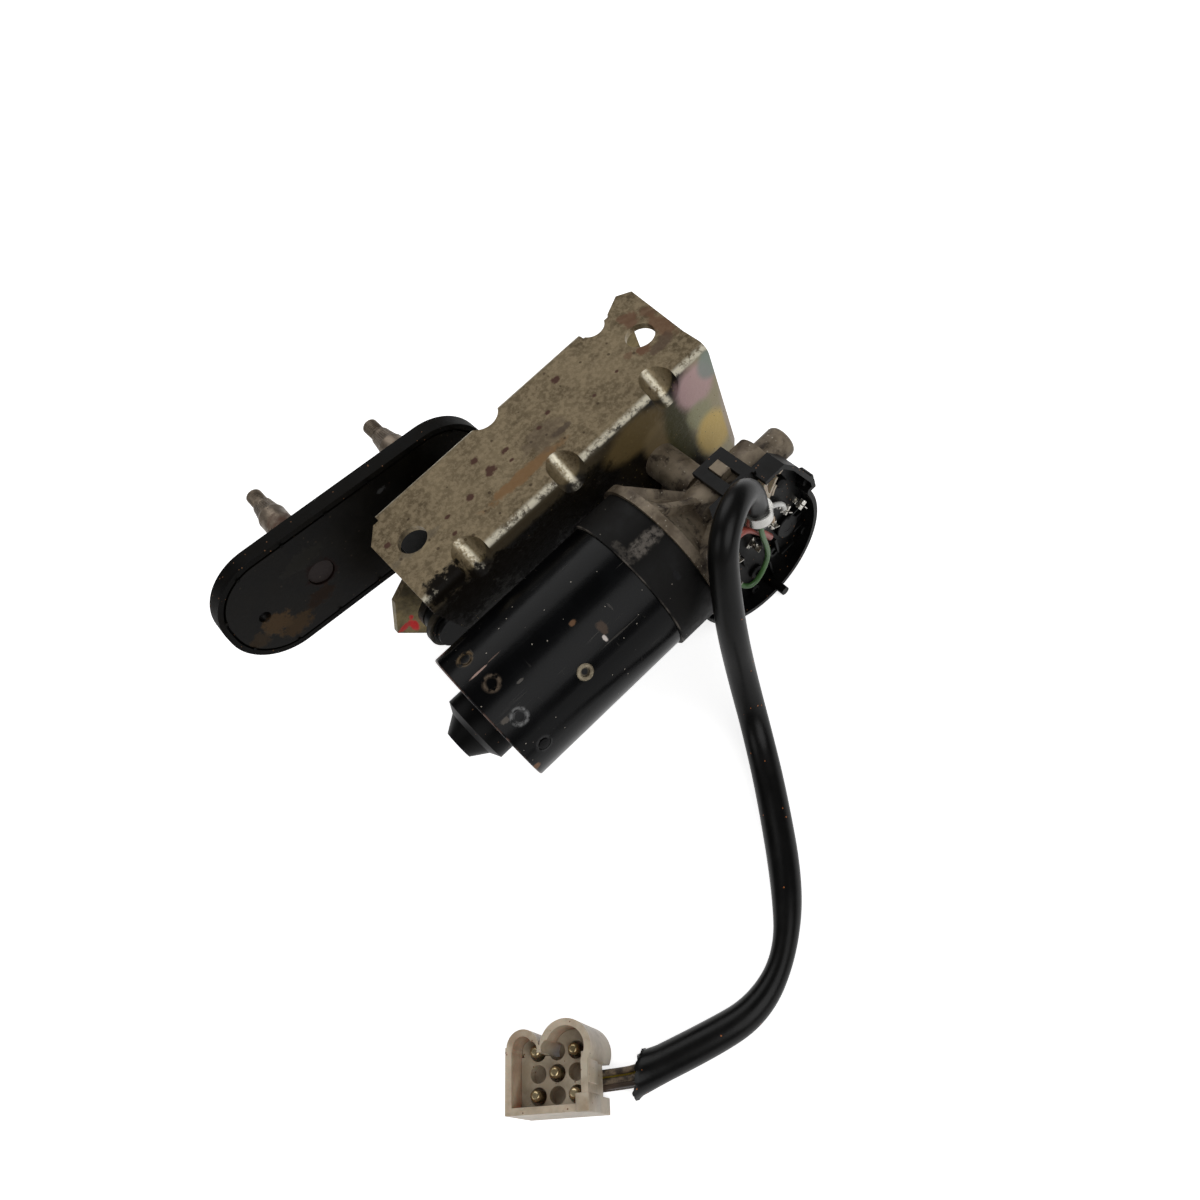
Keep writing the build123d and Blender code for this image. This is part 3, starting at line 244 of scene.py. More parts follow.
def patchMask(tree, given):  # soft-edged patches that cover a share of the surface
    settings = maskSettings["patches"]
    coarse = noiseNode(tree, given["Vector"], given["Scale"], *settings["noise"])
    level = minus(tree, settings["level"], times(tree, given["Cover"], settings["span"]))
    return rampNode(tree, coarse, level, plus(tree, level, given["Softness"]))


def speckMask(tree, given):  # round specks in a share of the cells
    cells = tree.nodes.new("ShaderNodeTexVoronoi")
    for name in ("Vector", "Scale"):
        fillSocket(tree, cells.inputs[name], given[name])
    split = tree.nodes.new("ShaderNodeSeparateColor")
    tree.links.new(cells.outputs["Color"], split.inputs["Color"])
    near = mathNode(tree, "LESS_THAN", cells.outputs["Distance"], given["Size"])
    return times(tree, near, mathNode(tree, "LESS_THAN", split.outputs["Red"], given["Share"]))


def scratchMask(tree, given):  # thin broken lines across the stretched direction
    turned = tree.nodes.new("ShaderNodeMapping")
    for name, label in (("Vector", "Vector"), ("Rotation", "Turn"), ("Scale", "Stretch")):
        fillSocket(tree, turned.inputs[name], given[label])
    settings = maskSettings["scratches"]
    level = minus(tree, settings["level"], times(tree, given["Amount"], settings["span"]))
    lines = noiseNode(tree, turned.outputs["Vector"], *settings["noise"])
    thin = rampNode(tree, lines, level, plus(tree, level, settings["soft"]))
    return times(tree, thin, mottle(tree, given["Vector"], *settings["breaks"]))


def zoneMask(tree, given):  # ellipsoid with a ragged edge
    settings = maskSettings["zone"]
    offset = vectorNode(tree, "SUBTRACT", given["Vector"], given["Centre"])
    length = vectorNode(tree, "LENGTH", vectorNode(tree, "DIVIDE", offset, given["Reach"]))
    shake = minus(tree, noiseNode(tree, given["Vector"], *settings["noise"]), 0.5)
    edge = plus(tree, length, times(tree, times(tree, shake, settings["shake"]), given["Ragged"]))
    return rampNode(tree, edge, *settings["edge"])


def ringMask(tree, given):  # broken ring of a given radius and breadth
    gap = vectorNode(tree, "DISTANCE", given["Vector"], given["Centre"])
    away = mathNode(tree, "ABSOLUTE", minus(tree, gap, given["Radius"]))
    breaks = mottle(tree, given["Vector"], *maskSettings["ring"]["breaks"])
    return times(tree, rampNode(tree, away, given["Breadth"], 0.0), breaks)


groupMakers = dict(
    patches=(patchMask, dict(Scale=60.0, Cover=0.4, Softness=0.1)),
    specks=(speckMask, dict(Scale=500.0, Size=0.2, Share=0.4)),
    scratches=(scratchMask, dict(Turn=(0, 0, 0), Stretch=(1, 1, 1), Amount=0.3)),
    zone=(zoneMask, dict(Centre=(0, 0, 0), Reach=(1, 1, 1), Ragged=0.2)),
    ring=(ringMask, dict(Centre=(0, 0, 0), Radius=0.003, Breadth=0.0008)),
)
groups = {name: newGroup(name, defaults, build) for name, (build, defaults) in groupMakers.items()}
print("shader groups ready")


def useGroup(tree, name, vector, **values):
    node = tree.nodes.new("ShaderNodeGroup")
    node.node_tree = groups[name]
    tree.links.new(vector, node.inputs["Vector"])
    for label, value in values.items():
        node.inputs[label.capitalize()].default_value = value
    return node.outputs["Mask"]


# Finishes
def startMaterial(name):
    material = bpy.data.materials.new(name)
    material.use_nodes = True
    tree = material.node_tree
    coords = tree.nodes.new("ShaderNodeTexCoord").outputs["Object"]
    return material, tree, coords, tree.nodes["Principled BSDF"]


def finishSurface(tree, shade, colour, rough, metal, height, bump, depth=0.0003, gloss=0.5):
    for name, value in (("Base Color", colour), ("Roughness", rough), ("Metallic", metal),
                        ("Specular IOR Level", gloss)):
        fillSocket(tree, shade.inputs[name], value)
    relief = tree.nodes.new("ShaderNodeBump")
    relief.inputs["Strength"].default_value = bump
    relief.inputs["Distance"].default_value = depth
    tree.links.new(height, relief.inputs["Height"])
    tree.links.new(relief.outputs["Normal"], shade.inputs["Normal"])


plainDefaults = dict(
    toneScale=90, tone=(5, 0.6), toneSplit=(0.35, 0.65), metal=0.0, gloss=0.5, shader={},
    grime=0.3, grimeScale=70, grimeSoft=0.16, grimeColour=(0.02, 0.017, 0.013), grimeRough=0.5, roughSplit=(0.2, 1.2),
    specks=0.08, speckScale=700, speckSize=0.22, speckColour=(0.16, 0.08, 0.04), grainScale=900, grain=(6, 0.7),
    bump=0.15, depth=0.0003,
)


def plainFinish(name, own):  # two-tone body, grime in patches, specks of rust or dust, grain in the relief
    settings = {**plainDefaults, **own}
    material, tree, coords, shade = startMaterial(name)
    tone = noiseNode(tree, coords, settings["toneScale"], *settings["tone"])
    colour = mixColour(tree, rampNode(tree, tone, *settings["toneSplit"]), settings["dark"], settings["light"])
    grime = useGroup(tree, "patches", coords, scale=settings["grimeScale"], cover=settings["grime"],
                     softness=settings["grimeSoft"])
    colour = mixColour(tree, grime, colour, settings["grimeColour"])
    specks = useGroup(tree, "specks", coords, scale=settings["speckScale"], size=settings["speckSize"],
                      share=settings["specks"])
    colour = mixColour(tree, specks, colour, settings["speckColour"])
    grain = noiseNode(tree, coords, settings["grainScale"], *settings["grain"])
    worn = plus(tree, times(tree, grime, settings["grimeRough"]), tone)
    rough = rampNode(tree, worn, *settings["roughSplit"], *settings["rough"])
    finishSurface(tree, shade, colour, rough, settings["metal"], grain, settings["bump"], settings["depth"],
                  settings["gloss"])
    for socket, value in settings["shader"].items():
        shade.inputs[socket].default_value = value
    return material


plainSettings = dict(
    sleevePvc=dict(dark=(0.0015, 0.0015, 0.0015), light=(0.0035, 0.0034, 0.0032), rough=(0.28, 0.44), grime=0.12,
        gloss=0.18, grimeColour=(0.009, 0.008, 0.0065), specks=0.03, speckColour=(0.3, 0.1, 0.03), bump=0.14),
    coverPlastic=dict(dark=(0.0015, 0.0015, 0.0015), light=(0.004, 0.0038, 0.0036), rough=(0.35, 0.6), grime=0.2,
        gloss=0.14, grimeColour=(0.012, 0.0095, 0.007), bump=0.12),
    capPlastic=dict(dark=(0.001, 0.001, 0.001), light=(0.0025, 0.0025, 0.0025), rough=(0.35, 0.55), grime=0.12,
        gloss=0.08, grimeColour=(0.01, 0.008, 0.006), bump=0.1),
    padRubber=dict(dark=(0.001, 0.0009, 0.0006), light=(0.0035, 0.0028, 0.0018), rough=(0.5, 0.8), grime=0.3,
        gloss=0.07, grimeColour=(0.012, 0.009, 0.0045), bump=0.25),
    castAlloy=dict(dark=(0.092, 0.068, 0.043), light=(0.24, 0.193, 0.135), rough=(0.42, 0.8), metal=0.35,
        grime=0.48, grimeColour=(0.03, 0.02, 0.012), grimeScale=110, grainScale=1500, bump=0.5, specks=0.2,
        speckColour=(0.32, 0.28, 0.22)),
    # linkDark: near black as painted shade, so that the link and lever inside the channel look dark through the
    # flange's hole; grime patches on top
    linkDark=dict(dark=(0.012, 0.009, 0.006), light=(0.045, 0.036, 0.022), rough=(0.35, 0.7), metal=0.4, grime=0.5,
        grimeColour=(0.008, 0.006, 0.004), bump=0.3, gloss=0.3),
    bareSteel=dict(dark=(0.2, 0.185, 0.165), light=(0.38, 0.36, 0.33), rough=(0.28, 0.55), metal=0.85, grime=0.3,
        grimeColour=(0.05, 0.035, 0.022), specks=0.15, bump=0.2),
    rustyCast=dict(dark=(0.05, 0.021, 0.011), light=(0.15, 0.07, 0.036), rough=(0.5, 0.85), metal=0.1, grime=0.4,
        gloss=0.3, grimeColour=(0.02, 0.012, 0.008), grimeScale=170, specks=0.3, speckColour=(0.24, 0.17, 0.11),
        bump=0.5),
    laminatedSteel=dict(dark=(0.16, 0.16, 0.16), light=(0.28, 0.28, 0.28), rough=(0.35, 0.6), metal=0.8, bump=0.2),
    woundCopper=dict(dark=(0.32, 0.12, 0.05), light=(0.5, 0.22, 0.1), rough=(0.3, 0.5), metal=0.8, bump=0.3),
    sinteredBronze=dict(dark=(0.25, 0.16, 0.07), light=(0.42, 0.29, 0.14), rough=(0.4, 0.6), metal=0.7, bump=0.3),
    contactBrass=dict(dark=(0.3, 0.23, 0.12), light=(0.55, 0.45, 0.28), rough=(0.22, 0.45), metal=0.9, grime=0.2,
        grimeColour=(0.08, 0.05, 0.025), bump=0.1),
    magnetFerrite=dict(dark=(0.03, 0.03, 0.03), light=(0.06, 0.06, 0.06), rough=(0.6, 0.8), bump=0.3),
    brushCarbon=dict(dark=(0.02, 0.02, 0.02), light=(0.04, 0.04, 0.04), rough=(0.6, 0.8), bump=0.3),
    whiteNylon=dict(dark=(0.6, 0.57, 0.5), light=(0.75, 0.73, 0.66), rough=(0.35, 0.5), grime=0.1, bump=0.05),
    agedNylon=dict(dark=(0.34, 0.265, 0.185), light=(0.54, 0.45, 0.34), rough=(0.35, 0.55), grime=0.28,
        grimeColour=(0.1, 0.068, 0.04), grimeScale=130, specks=0.09, bump=0.14, shader={"Subsurface Weight": 0.1}),
    wireBraid=dict(dark=(0.03, 0.022, 0.015), light=(0.2, 0.15, 0.1), toneScale=420, rough=(0.5, 0.7), grime=0.3,
        bump=0.3),
    tinnedBrass=dict(dark=(0.4, 0.38, 0.34), light=(0.7, 0.68, 0.63), rough=(0.15, 0.35), metal=0.95, grime=0.15,
        bump=0.1),
    spindleSteel=dict(dark=(0.11, 0.085, 0.06), light=(0.25, 0.2, 0.15), rough=(0.35, 0.7), metal=0.6, grime=0.45,
        grimeColour=(0.05, 0.038, 0.026), grimeScale=180, specks=0.15, bump=0.35),
    clampSteel=dict(dark=(0.4, 0.39, 0.37), light=(0.6, 0.59, 0.56), rough=(0.2, 0.4), metal=0.95, grime=0.15,
        bump=0.1),
)
wireTones = dict(  # dark tone, light tone, share of grime
    wireWhite=((0.6, 0.6, 0.58), (0.75, 0.75, 0.72), 0.15),
    wireBeige=((0.42, 0.3, 0.2), (0.52, 0.4, 0.28), 0.15),
    wireRed=((0.22, 0.04, 0.03), (0.32, 0.07, 0.05), 0.2),
    wireGreen=((0.03, 0.09, 0.02), (0.06, 0.15, 0.04), 0.2),
    wireDark=((0.03, 0.02, 0.015), (0.07, 0.045, 0.03), 0.2),
    wireYellow=((0.45, 0.32, 0.03), (0.55, 0.42, 0.06), 0.15),
)
for name, (dark, light, grime) in wireTones.items():
    plainSettings[name] = dict(dark=dark, light=light, rough=(0.35, 0.5), grime=grime, bump=0.05)


def zoneShare(tree, coords, centre, reach, share, ragged):
    zone = useGroup(tree, "zone", coords, centre=spot(*centre), reach=Vector(reach) * mm, ragged=ragged)
    return times(tree, zone, share)


def paintZones(tree, coords, colour, zones):  # each zone: centre and reach in mm, colour, share, ragged edge
    cover = 0.0
    for centre, reach, paint, share, ragged in zones:
        mask = zoneShare(tree, coords, centre, reach, share, ragged)
        colour = mixColour(tree, mask, colour, paint)
        cover = most(tree, mask, cover)
    return colour, cover


yokeLook = dict(
    paint=((0.0008, 0.0009, 0.0011), (0.0022, 0.0024, 0.0028)), tone=(40, 4, 0.55), toneSplit=(0.35, 0.7),
    rough=(0.2, 0.4), roughSplit=(0.3, 1.2), bareRough=0.8, gloss=0.11, grain=(220, 3, 0.5), dent=0.6, bump=0.12,
    cloud=dict(scale=45, cover=0.3, softness=0.35), cloudShare=0.5, specks=dict(scale=420, size=0.11, share=0.12),
    scratches=(dict(turn=(0.3, 0.2, 0.7), stretch=(25, 900, 300), amount=0.6),
               dict(turn=(0.9, 0.5, -0.4), stretch=(700, 20, 260), amount=0.5)),
    scratchShare=0.35, scratchColour=(0.1, 0.09, 0.08), ring=dict(radius=2.9 * mm, breadth=1.3 * mm),
    edge=(0.9, 0.2), edgeFrom=(27.5, 29.1), edgeWear=(160, 4, 0.6, 0.42, 0.6),
    cloudColour=(0.006, 0.0056, 0.005), speckColour=(0.3, 0.27, 0.23), edgeColour=(0.16, 0.1, 0.08),
    rings=(((8.9, 6.7, 29.2), (0.13, 0.09, 0.05), 0.9), ((10, -8.8, 28.7), (0.12, 0.09, 0.065), 0.9),
           ((9, -22.1, 20.2), (0.22, 0.22, 0.22), 0.8), ((9, -29.3, 6.4), (0.08, 0.08, 0.08), 0.4)),
    marks=(((46, -12.8, 27.3), (1.9, 1.3, 1.6), (0.16, 0.085, 0.045), 0.85, 0.35),
           ((52.9, -19.9, 22.2), (2.2, 3.2, 3.4), (0.075, 0.05, 0.035), 0.8, 0.4),
           ((51, -22.4, 19.8), (0.9, 1.5, 1.6), (0.62, 0.56, 0.52), 1.0, 0.3),
           ((9.5, -2.3, 29.9), (5, 0.55, 1.4), (0.4, 0.27, 0.23), 0.9, 0.35),
           ((16.5, -2, 29.9), (4, 0.3, 1), (0.16, 0.11, 0.09), 0.7, 0.3),
           ((18, -14.9, 26), (1.6, 0.5, 0.8), (0.12, 0.11, 0.1), 0.7, 0.5),
           ((4.6, -20.3, 22.2), (2.0, 1.0, 1.2), (0.15, 0.13, 0.11), 0.6, 0.6),
           ((1.2, -30, -0.8), (2.2, 1.4, 2.4), (0.2, 0.1, 0.05), 0.9, 0.3)),
)


def yokePaint(settings):  # gloss black paint with chips, fine scratches, dust specks and a worn rear edge
    material, tree, coords, shade = startMaterial("yokePaint")
    tone = noiseNode(tree, coords, *settings["tone"])
    colour = mixColour(tree, rampNode(tree, tone, *settings["toneSplit"]), *settings["paint"])
    cloud = useGroup(tree, "patches", coords, **settings["cloud"])
    colour = mixColour(tree, times(tree, cloud, settings["cloudShare"]), colour, settings["cloudColour"])
    lines = most(tree, *(useGroup(tree, "scratches", coords, **run) for run in settings["scratches"]))
    colour = mixColour(tree, times(tree, lines, settings["scratchShare"]), colour, settings["scratchColour"])
    colour = mixColour(tree, useGroup(tree, "specks", coords, **settings["specks"]), colour, settings["speckColour"])
    for centre, paint, share in settings["rings"]:
        ring = useGroup(tree, "ring", coords, centre=spot(*centre), **settings["ring"])
        colour = mixColour(tree, times(tree, ring, share), colour, paint)
    colour, bare = paintZones(tree, coords, colour, settings["marks"])
    place = splitNode(tree, coords)
    across = [minus(tree, place[name], middle) for name, middle in (("Y", axisY), ("Z", axisZ))]
    away = mathNode(tree, "SQRT", plus(tree, *(times(tree, side, side) for side in across)))
    edge = times(tree, rampNode(tree, place["X"], *(yokeRear + x * mm for x in settings["edge"])),
                 rampNode(tree, away, *(radius * mm for radius in settings["edgeFrom"])))
    edge = times(tree, edge, mottle(tree, coords, *settings["edgeWear"]))
    colour = mixColour(tree, edge, colour, settings["edgeColour"])
    rough = rampNode(tree, plus(tree, tone, times(tree, bare, settings["bareRough"])), *settings["roughSplit"],
                     *settings["rough"])
    relief = minus(tree, noiseNode(tree, coords, *settings["grain"]),
                   times(tree, plus(tree, bare, lines), settings["dent"]))
    finishSurface(tree, shade, colour, rough, 0.0, relief, settings["bump"], gloss=settings["gloss"])
    return material


bandLook = dict(
    rubber=((0.0022, 0.002, 0.0018), (0.006, 0.0055, 0.005)), lipHighlight=(0.12, 0.105, 0.09),
    tone=(130, 6, 0.7), toneSplit=(0.35, 0.65), torn=(420, 5, 0.7, 0.36, 0.6), lip=(0.6, 0.1),
    lipHighlightBreaks=(90, 4, 0.6, 0.4, 0.62), specks=dict(scale=520, size=0.14, share=0.08), speckColour=(0.16, 0.14, 0.12),
    rough=(0.3, 0.7, 0.45, 0.65), bump=0.3, depth=0.0004, gloss=0.12,
    strips=(((85.5, -10.3, 29.6), (11, 4.2, 5), (0.13, 0.115, 0.1), 0.85, 0.28),
            ((78, -8, 30), (2.4, 7, 4), (0.06, 0.053, 0.045), 0.7, 0.5),
            ((86.3, -24.3, 19.8), (1.6, 2.6, 2.6), (0.012, 0.012, 0.014), 0.7, 0.4)),
)


def bandRubber(settings):  # black band, rubbed to a paler strip on its upper side, a painted highlight along its rear lip
    material, tree, coords, shade = startMaterial("bandRubber")
    tone = noiseNode(tree, coords, *settings["tone"])
    colour = mixColour(tree, rampNode(tree, tone, *settings["toneSplit"]), *settings["rubber"])
    worn, cover = paintZones(tree, coords, colour, settings["strips"])
    torn = mottle(tree, coords, *settings["torn"])
    colour = mixColour(tree, torn, colour, worn)
    # painted highlight: a thin light line along the band's rear lip, broken by noise
    lip = rampNode(tree, splitNode(tree, coords)["X"], *(yokeLow[0] + x * mm for x in settings["lip"]))
    lip = times(tree, lip, mottle(tree, coords, *settings["lipHighlightBreaks"]))
    colour = mixColour(tree, lip, colour, settings["lipHighlight"])
    colour = mixColour(tree, useGroup(tree, "specks", coords, **settings["specks"]), colour, settings["speckColour"])
    rough = rampNode(tree, tone, *settings["rough"])
    finishSurface(tree, shade, colour, rough, 0.0, minus(tree, tone, times(tree, cover, torn)), settings["bump"],
                  settings["depth"], settings["gloss"])
    return material


rustBrown = (0.12, 0.046, 0.018)
zincLook = dict(
    tone=(60, 7, 0.65, 0.4), toneSplit=(0.34, 0.66), fleck=(420, 6, 0.75, 0.42, 0.58), fleckShare=0.5,
    fleckColour=(0.34, 0.27, 0.17), flat=(0.62, 0.95), webFrom=(40, 38.5), raised=(23.5, 26.5), leftPart=(118, 96),
    flankShare=0.85, dust=dict(scale=600, size=0.16, share=0.2), dustColour=(0.2, 0.15, 0.07),
    pits=dict(scale=300, size=0.22, share=0.1), pitShare=0.7, pitColour=(0.045, 0.026, 0.013),
    bendTop=(0.38, 0.6), bendLow=(0.97, 0.8), highlightSpeckle=(320, 6, 0.75, 0.38, 0.56), crease=(0.34, 0.08),
    topZ=33.3, spotFlat=0.8, spotDepth=3, spotRagged=0.5, shadeAndOilRagged=0.55, shadeAndOilDull=0.8, webDull=0.8,
    rough=(0.38, 0.85), flatRough=0.55, highlightGloss=0.25, metal=0.6, gloss=0.3, grain=(700, 6, 0.7), stainRelief=0.6,
    bump=0.2, depth=0.0004,
    topDark=(0.1, 0.074, 0.04), topLight=(0.215, 0.168, 0.1),
    sideDark=(0.075, 0.058, 0.026), sideLight=(0.26, 0.2, 0.09),
    shadeAndOilColour=(0.006, 0.0045, 0.003), bendShade=(0.06, 0.046, 0.026), bendHighlight=(0.64, 0.59, 0.46),
    # web: near-black colours painted on the web as shade and dark reflection
    web=((0.0025, 0.0018, 0.0012), (0.014, 0.0105, 0.0055)), rustSpot=(0.062, 0.022, 0.01),
    rustSpots=((115.4, 77.2, 2.6), (119.2, 56.3, 1.4), (68.1, 63.7, 3.4), (66.3, 73.2, 2.2), (78, 66.7, 2.2),
               (76.9, 60.1, 1.3), (54.2, 60.2, 2.2), (133.4, 57.8, 1.3), (101.8, 66.3, 1.8), (42.4, 60.6, 1.3),
               (39.6, 51.6, 1.6), (17.5, 70.8, 1.8), (94.4, 63, 1.6)),
    topStains=(((155, 75.2, 33.3), (4.5, 6, 4), rustBrown, 0.75, 0.5),
        ((163, 71, 33.3), (3.5, 5, 4), rustBrown, 0.6, 0.5),
        ((161, 60, 33.3), (4.5, 10, 4), (0.14, 0.065, 0.028), 0.8, 0.35),
        ((155, 53, 33.3), (8, 3.5, 4), (0.08, 0.045, 0.025), 0.75, 0.5),
        ((148, 57, 33.3), (4, 3, 4), rustBrown, 0.85, 0.5), ((142, 60, 33.3), (2.4, 2, 4), rustBrown, 0.5, 0.5),
        ((76, 50, 33.3), (23, 3.6, 4), (0.19, 0.1, 0.034), 0.9, 0.4),
        ((93, 58, 33.3), (12, 8, 4), (0.12, 0.085, 0.05), 0.6, 0.5),
        ((100, 54.5, 33.3), (6, 2, 3), (0.05, 0.03, 0.018), 0.7, 0.5),
        ((24, 60, 33.3), (14, 3, 3), (0.1, 0.082, 0.055), 0.5, 0.6)),
    # first three zones: painted sheen of light on the shaded web; the rest: the zinc's own pale, pink, green and
    # yellow tints at the web's end
    webSheenAndTints=(((120, 36, 21), (20, 6, 11), (0.15, 0.105, 0.042), 0.85, 0.06),
        ((130, 36, 9), (11, 6, 11), (0.19, 0.14, 0.07), 0.8, 0.06),
        ((140, 36, 2), (9, 6, 24), (0.05, 0.046, 0.014), 0.95, 0.04),
        ((160, 36, -2), (17, 6, 46), (0.37, 0.32, 0.2), 0.95, 0.04),
        ((153, 36, 19), (12, 6, 13), (0.52, 0.34, 0.34), 0.9, 0.05),
        ((163, 36, 24), (8, 6, 9), (0.22, 0.28, 0.25), 0.8, 0.05),
        ((151, 36, 3), (8, 6, 9), (0.3, 0.3, 0.17), 0.7, 0.05),
        ((155, 36, -13), (11, 6, 15), (0.63, 0.45, 0.14), 0.95, 0.05),
        ((165, 36, -16), (4, 6, 30), (0.45, 0.38, 0.33), 0.75, 0.05)),
    # black matte zones: painted shade and dark reflection on the web, and black oil over the left end of the bend
    shadeAndOil=(((31, 37, 17), (19, 7, 13), 1.0), ((47, 36, 16), (14, 5, 11), 1.0), ((24, 38, 30), (14, 7, 6), 1.0),
            ((60, 36, 10), (22, 5, 12), 1.0), ((80, 36, 14), (26, 5, 12), 0.8)),
    # first zone: painted shade, near black, on the far wall inside the channel, seen through the flange's hole; the
    # others: dabs of red paint
    paintDabsAndShade=(((28, 89, 4), (24, 6, 26), (0.003, 0.0025, 0.0018), 1.0, 0.1),
        ((3, 87, -35), (2.2, 4, 5), (0.95, 0.015, 0.015), 1.0, 0.2),
        ((-0.5, 87, -31.5), (4, 4, 2), (0.7, 0.015, 0.015), 0.9, 0.4),
        ((4.5, 87, -29.5), (1.2, 4, 1.8), (0.8, 0.02, 0.02), 0.9, 0.4)),
)


def zincPlate(settings):  # dull grey on the flange, web painted near black as shade and dark reflection with a painted sheen, the zinc's yellow, pink and green tints at its end, black matte zones of painted shade on the web, black oil over the left of the bend, painted highlight along the bends
    material, tree, coords, shade = startMaterial("zincPlate")
    mottled = rampNode(tree, noiseNode(tree, coords, *settings["tone"]), *settings["toneSplit"])
    fleck = mottle(tree, coords, *settings["fleck"])
    normal = splitNode(tree, tree.nodes.new("ShaderNodeNewGeometry").outputs["Normal"])
    place = splitNode(tree, coords)

    def beyond(axis, start, ends):  # mask along one axis between two distances in mm from the yoke's rear centre
        return rampNode(tree, place[axis], *(start + end * mm for end in settings[ends]))

    flat = rampNode(tree, normal["Z"], *settings["flat"])
    side = mixColour(tree, mottled, settings["sideDark"], settings["sideLight"])
    raised = beyond("Z", axisZ, "raised")
    leftPart = beyond("X", yokeRear, "leftPart")
    # the web's side, where the near-black painted shade and dark reflection go; made dull there
    shadedWeb = beyond("Y", axisY, "webFrom")
    # painted sheen on the shaded web, then the zinc's own tints at its end
    web, _ = paintZones(tree, coords, mixColour(tree, mottled, *settings["web"]), settings["webSheenAndTints"])
    web = mixColour(tree, useGroup(tree, "specks", coords, **settings["dust"]), web, settings["dustColour"])
    # painted shade: a dark band on the web just under the bend, on its left part only
    web = mixColour(tree, times(tree, raised, leftPart), web, settings["bendShade"])
    side = mixColour(tree, shadedWeb, side, web)
    top = mixColour(tree, mottled, settings["topDark"], settings["topLight"])
    top = mixColour(tree, times(tree, fleck, settings["fleckShare"]), top, settings["fleckColour"])
    top, stained = paintZones(tree, coords, top, settings["topStains"])
    spots = [((x, y, settings["topZ"]), (size, size * settings["spotFlat"], settings["spotDepth"]),
              settings["rustSpot"], 1.0, settings["spotRagged"]) for x, y, size in settings["rustSpots"]]
    top, spotted = paintZones(tree, coords, top, spots)
    stained = most(tree, stained, spotted)
    pits = times(tree, useGroup(tree, "specks", coords, **settings["pits"]), settings["pitShare"])
    top = mixColour(tree, pits, top, settings["pitColour"])
    flank = times(tree, raised, minus(tree, 1.0, shadedWeb))
    side = mixColour(tree, times(tree, flank, settings["flankShare"]), side, top)
    colour = mixColour(tree, flat, side, top)
    # painted highlight along the bends, held in the mask called worn: picked by the normal's Z, narrowed to the darts'
    # creases by the normal's X, broken into speckles, and smoother there
    bend = times(tree, *(rampNode(tree, normal["Z"], *settings[name]) for name in ("bendTop", "bendLow")))
    worn = times(tree, bend, mottle(tree, coords, *settings["highlightSpeckle"]))
    worn = times(tree, worn, rampNode(tree, mathNode(tree, "ABSOLUTE", normal["X"]), *settings["crease"]))
    colour = mixColour(tree, worn, colour, settings["bendHighlight"])
    # black and dull: painted shade and dark reflection on the web, black oil over the left end of the bend
    shadeAndOilMask = 0.0
    for centre, reach, share in settings["shadeAndOil"]:
        shadeAndOilMask = most(tree, zoneShare(tree, coords, centre, reach, share, settings["shadeAndOilRagged"]), shadeAndOilMask)
    colour = mixColour(tree, shadeAndOilMask, colour, settings["shadeAndOilColour"])
    # painted shade inside the channel, and red paint dabs
    colour, painted = paintZones(tree, coords, colour, settings["paintDabsAndShade"])
    dull = most(tree, most(tree, stained, painted), shadeAndOilMask)
    rough = minus(tree, times(tree, flat, settings["flatRough"]), times(tree, worn, settings["highlightGloss"]))
    rough = rampNode(tree, rough, 0, 1, *settings["rough"])
    metal = rampNode(tree, most(tree, dull, times(tree, shadedWeb, settings["webDull"])), 0, 1, settings["metal"], 0.0)
    shine = times(tree, minus(tree, 1.0, times(tree, shadeAndOilMask, settings["shadeAndOilDull"])), settings["gloss"])
    relief = plus(tree, plus(tree, noiseNode(tree, coords, *settings["grain"]), fleck),
                  times(tree, stained, settings["stainRelief"]))
    finishSurface(tree, shade, colour, rough, metal, relief, settings["bump"], settings["depth"], shine)
    return material


plateLook = dict(
    paint=((0.0014, 0.0011, 0.0007), (0.0045, 0.0036, 0.0024)), dustColour=(0.04, 0.03, 0.02),
    tone=(70, 6, 0.65, 0.3), toneSplit=(0.3, 0.7), dust=dict(scale=420, size=0.2, share=0.12), dustShare=0.5,
    rough=(0.3, 1.5, 0.36, 0.75), grain=(500, 6, 0.7), bump=0.25, depth=0.0004, gloss=0.1,
    worn=(((-40, 112, -1), (8, 4, 7), (0.085, 0.052, 0.026), 0.75, 0.5),
        ((-34, 112, -10), (9, 4, 6), (0.06, 0.038, 0.02), 0.8, 0.5),
        ((-50, 112, -2), (6, 4, 5), (0.05, 0.034, 0.02), 0.6, 0.5),
        ((-12, 112, 18), (12, 4, 5), (0.022, 0.021, 0.018), 0.6, 0.5),
        ((-10.6, 112, 4.4), (8.6, 4, 8.6), (0.012, 0.0045, 0.0035), 0.8, 0.3),
        ((-18, 112, -6), (8, 4, 5), (0.022, 0.012, 0.007), 0.7, 0.5),
        ((33, 112, 18), (3, 4, 1.5), (0.09, 0.09, 0.09), 0.5, 0.8)),
)


def plateSteel(settings):  # black painted steel with brown rust bloom low down and round the idler
    material, tree, coords, shade = startMaterial("plateSteel")
    tone = noiseNode(tree, coords, *settings["tone"])
    colour = mixColour(tree, rampNode(tree, tone, *settings["toneSplit"]), *settings["paint"])
    colour, bloom = paintZones(tree, coords, colour, settings["worn"])
    dust = times(tree, useGroup(tree, "specks", coords, **settings["dust"]), settings["dustShare"])
    colour = mixColour(tree, dust, colour, settings["dustColour"])
    rough = rampNode(tree, plus(tree, tone, bloom), *settings["rough"])
    relief = plus(tree, noiseNode(tree, coords, *settings["grain"]), bloom)
    finishSurface(tree, shade, colour, rough, 0.0, relief, settings["bump"], settings["depth"], settings["gloss"])
    return material


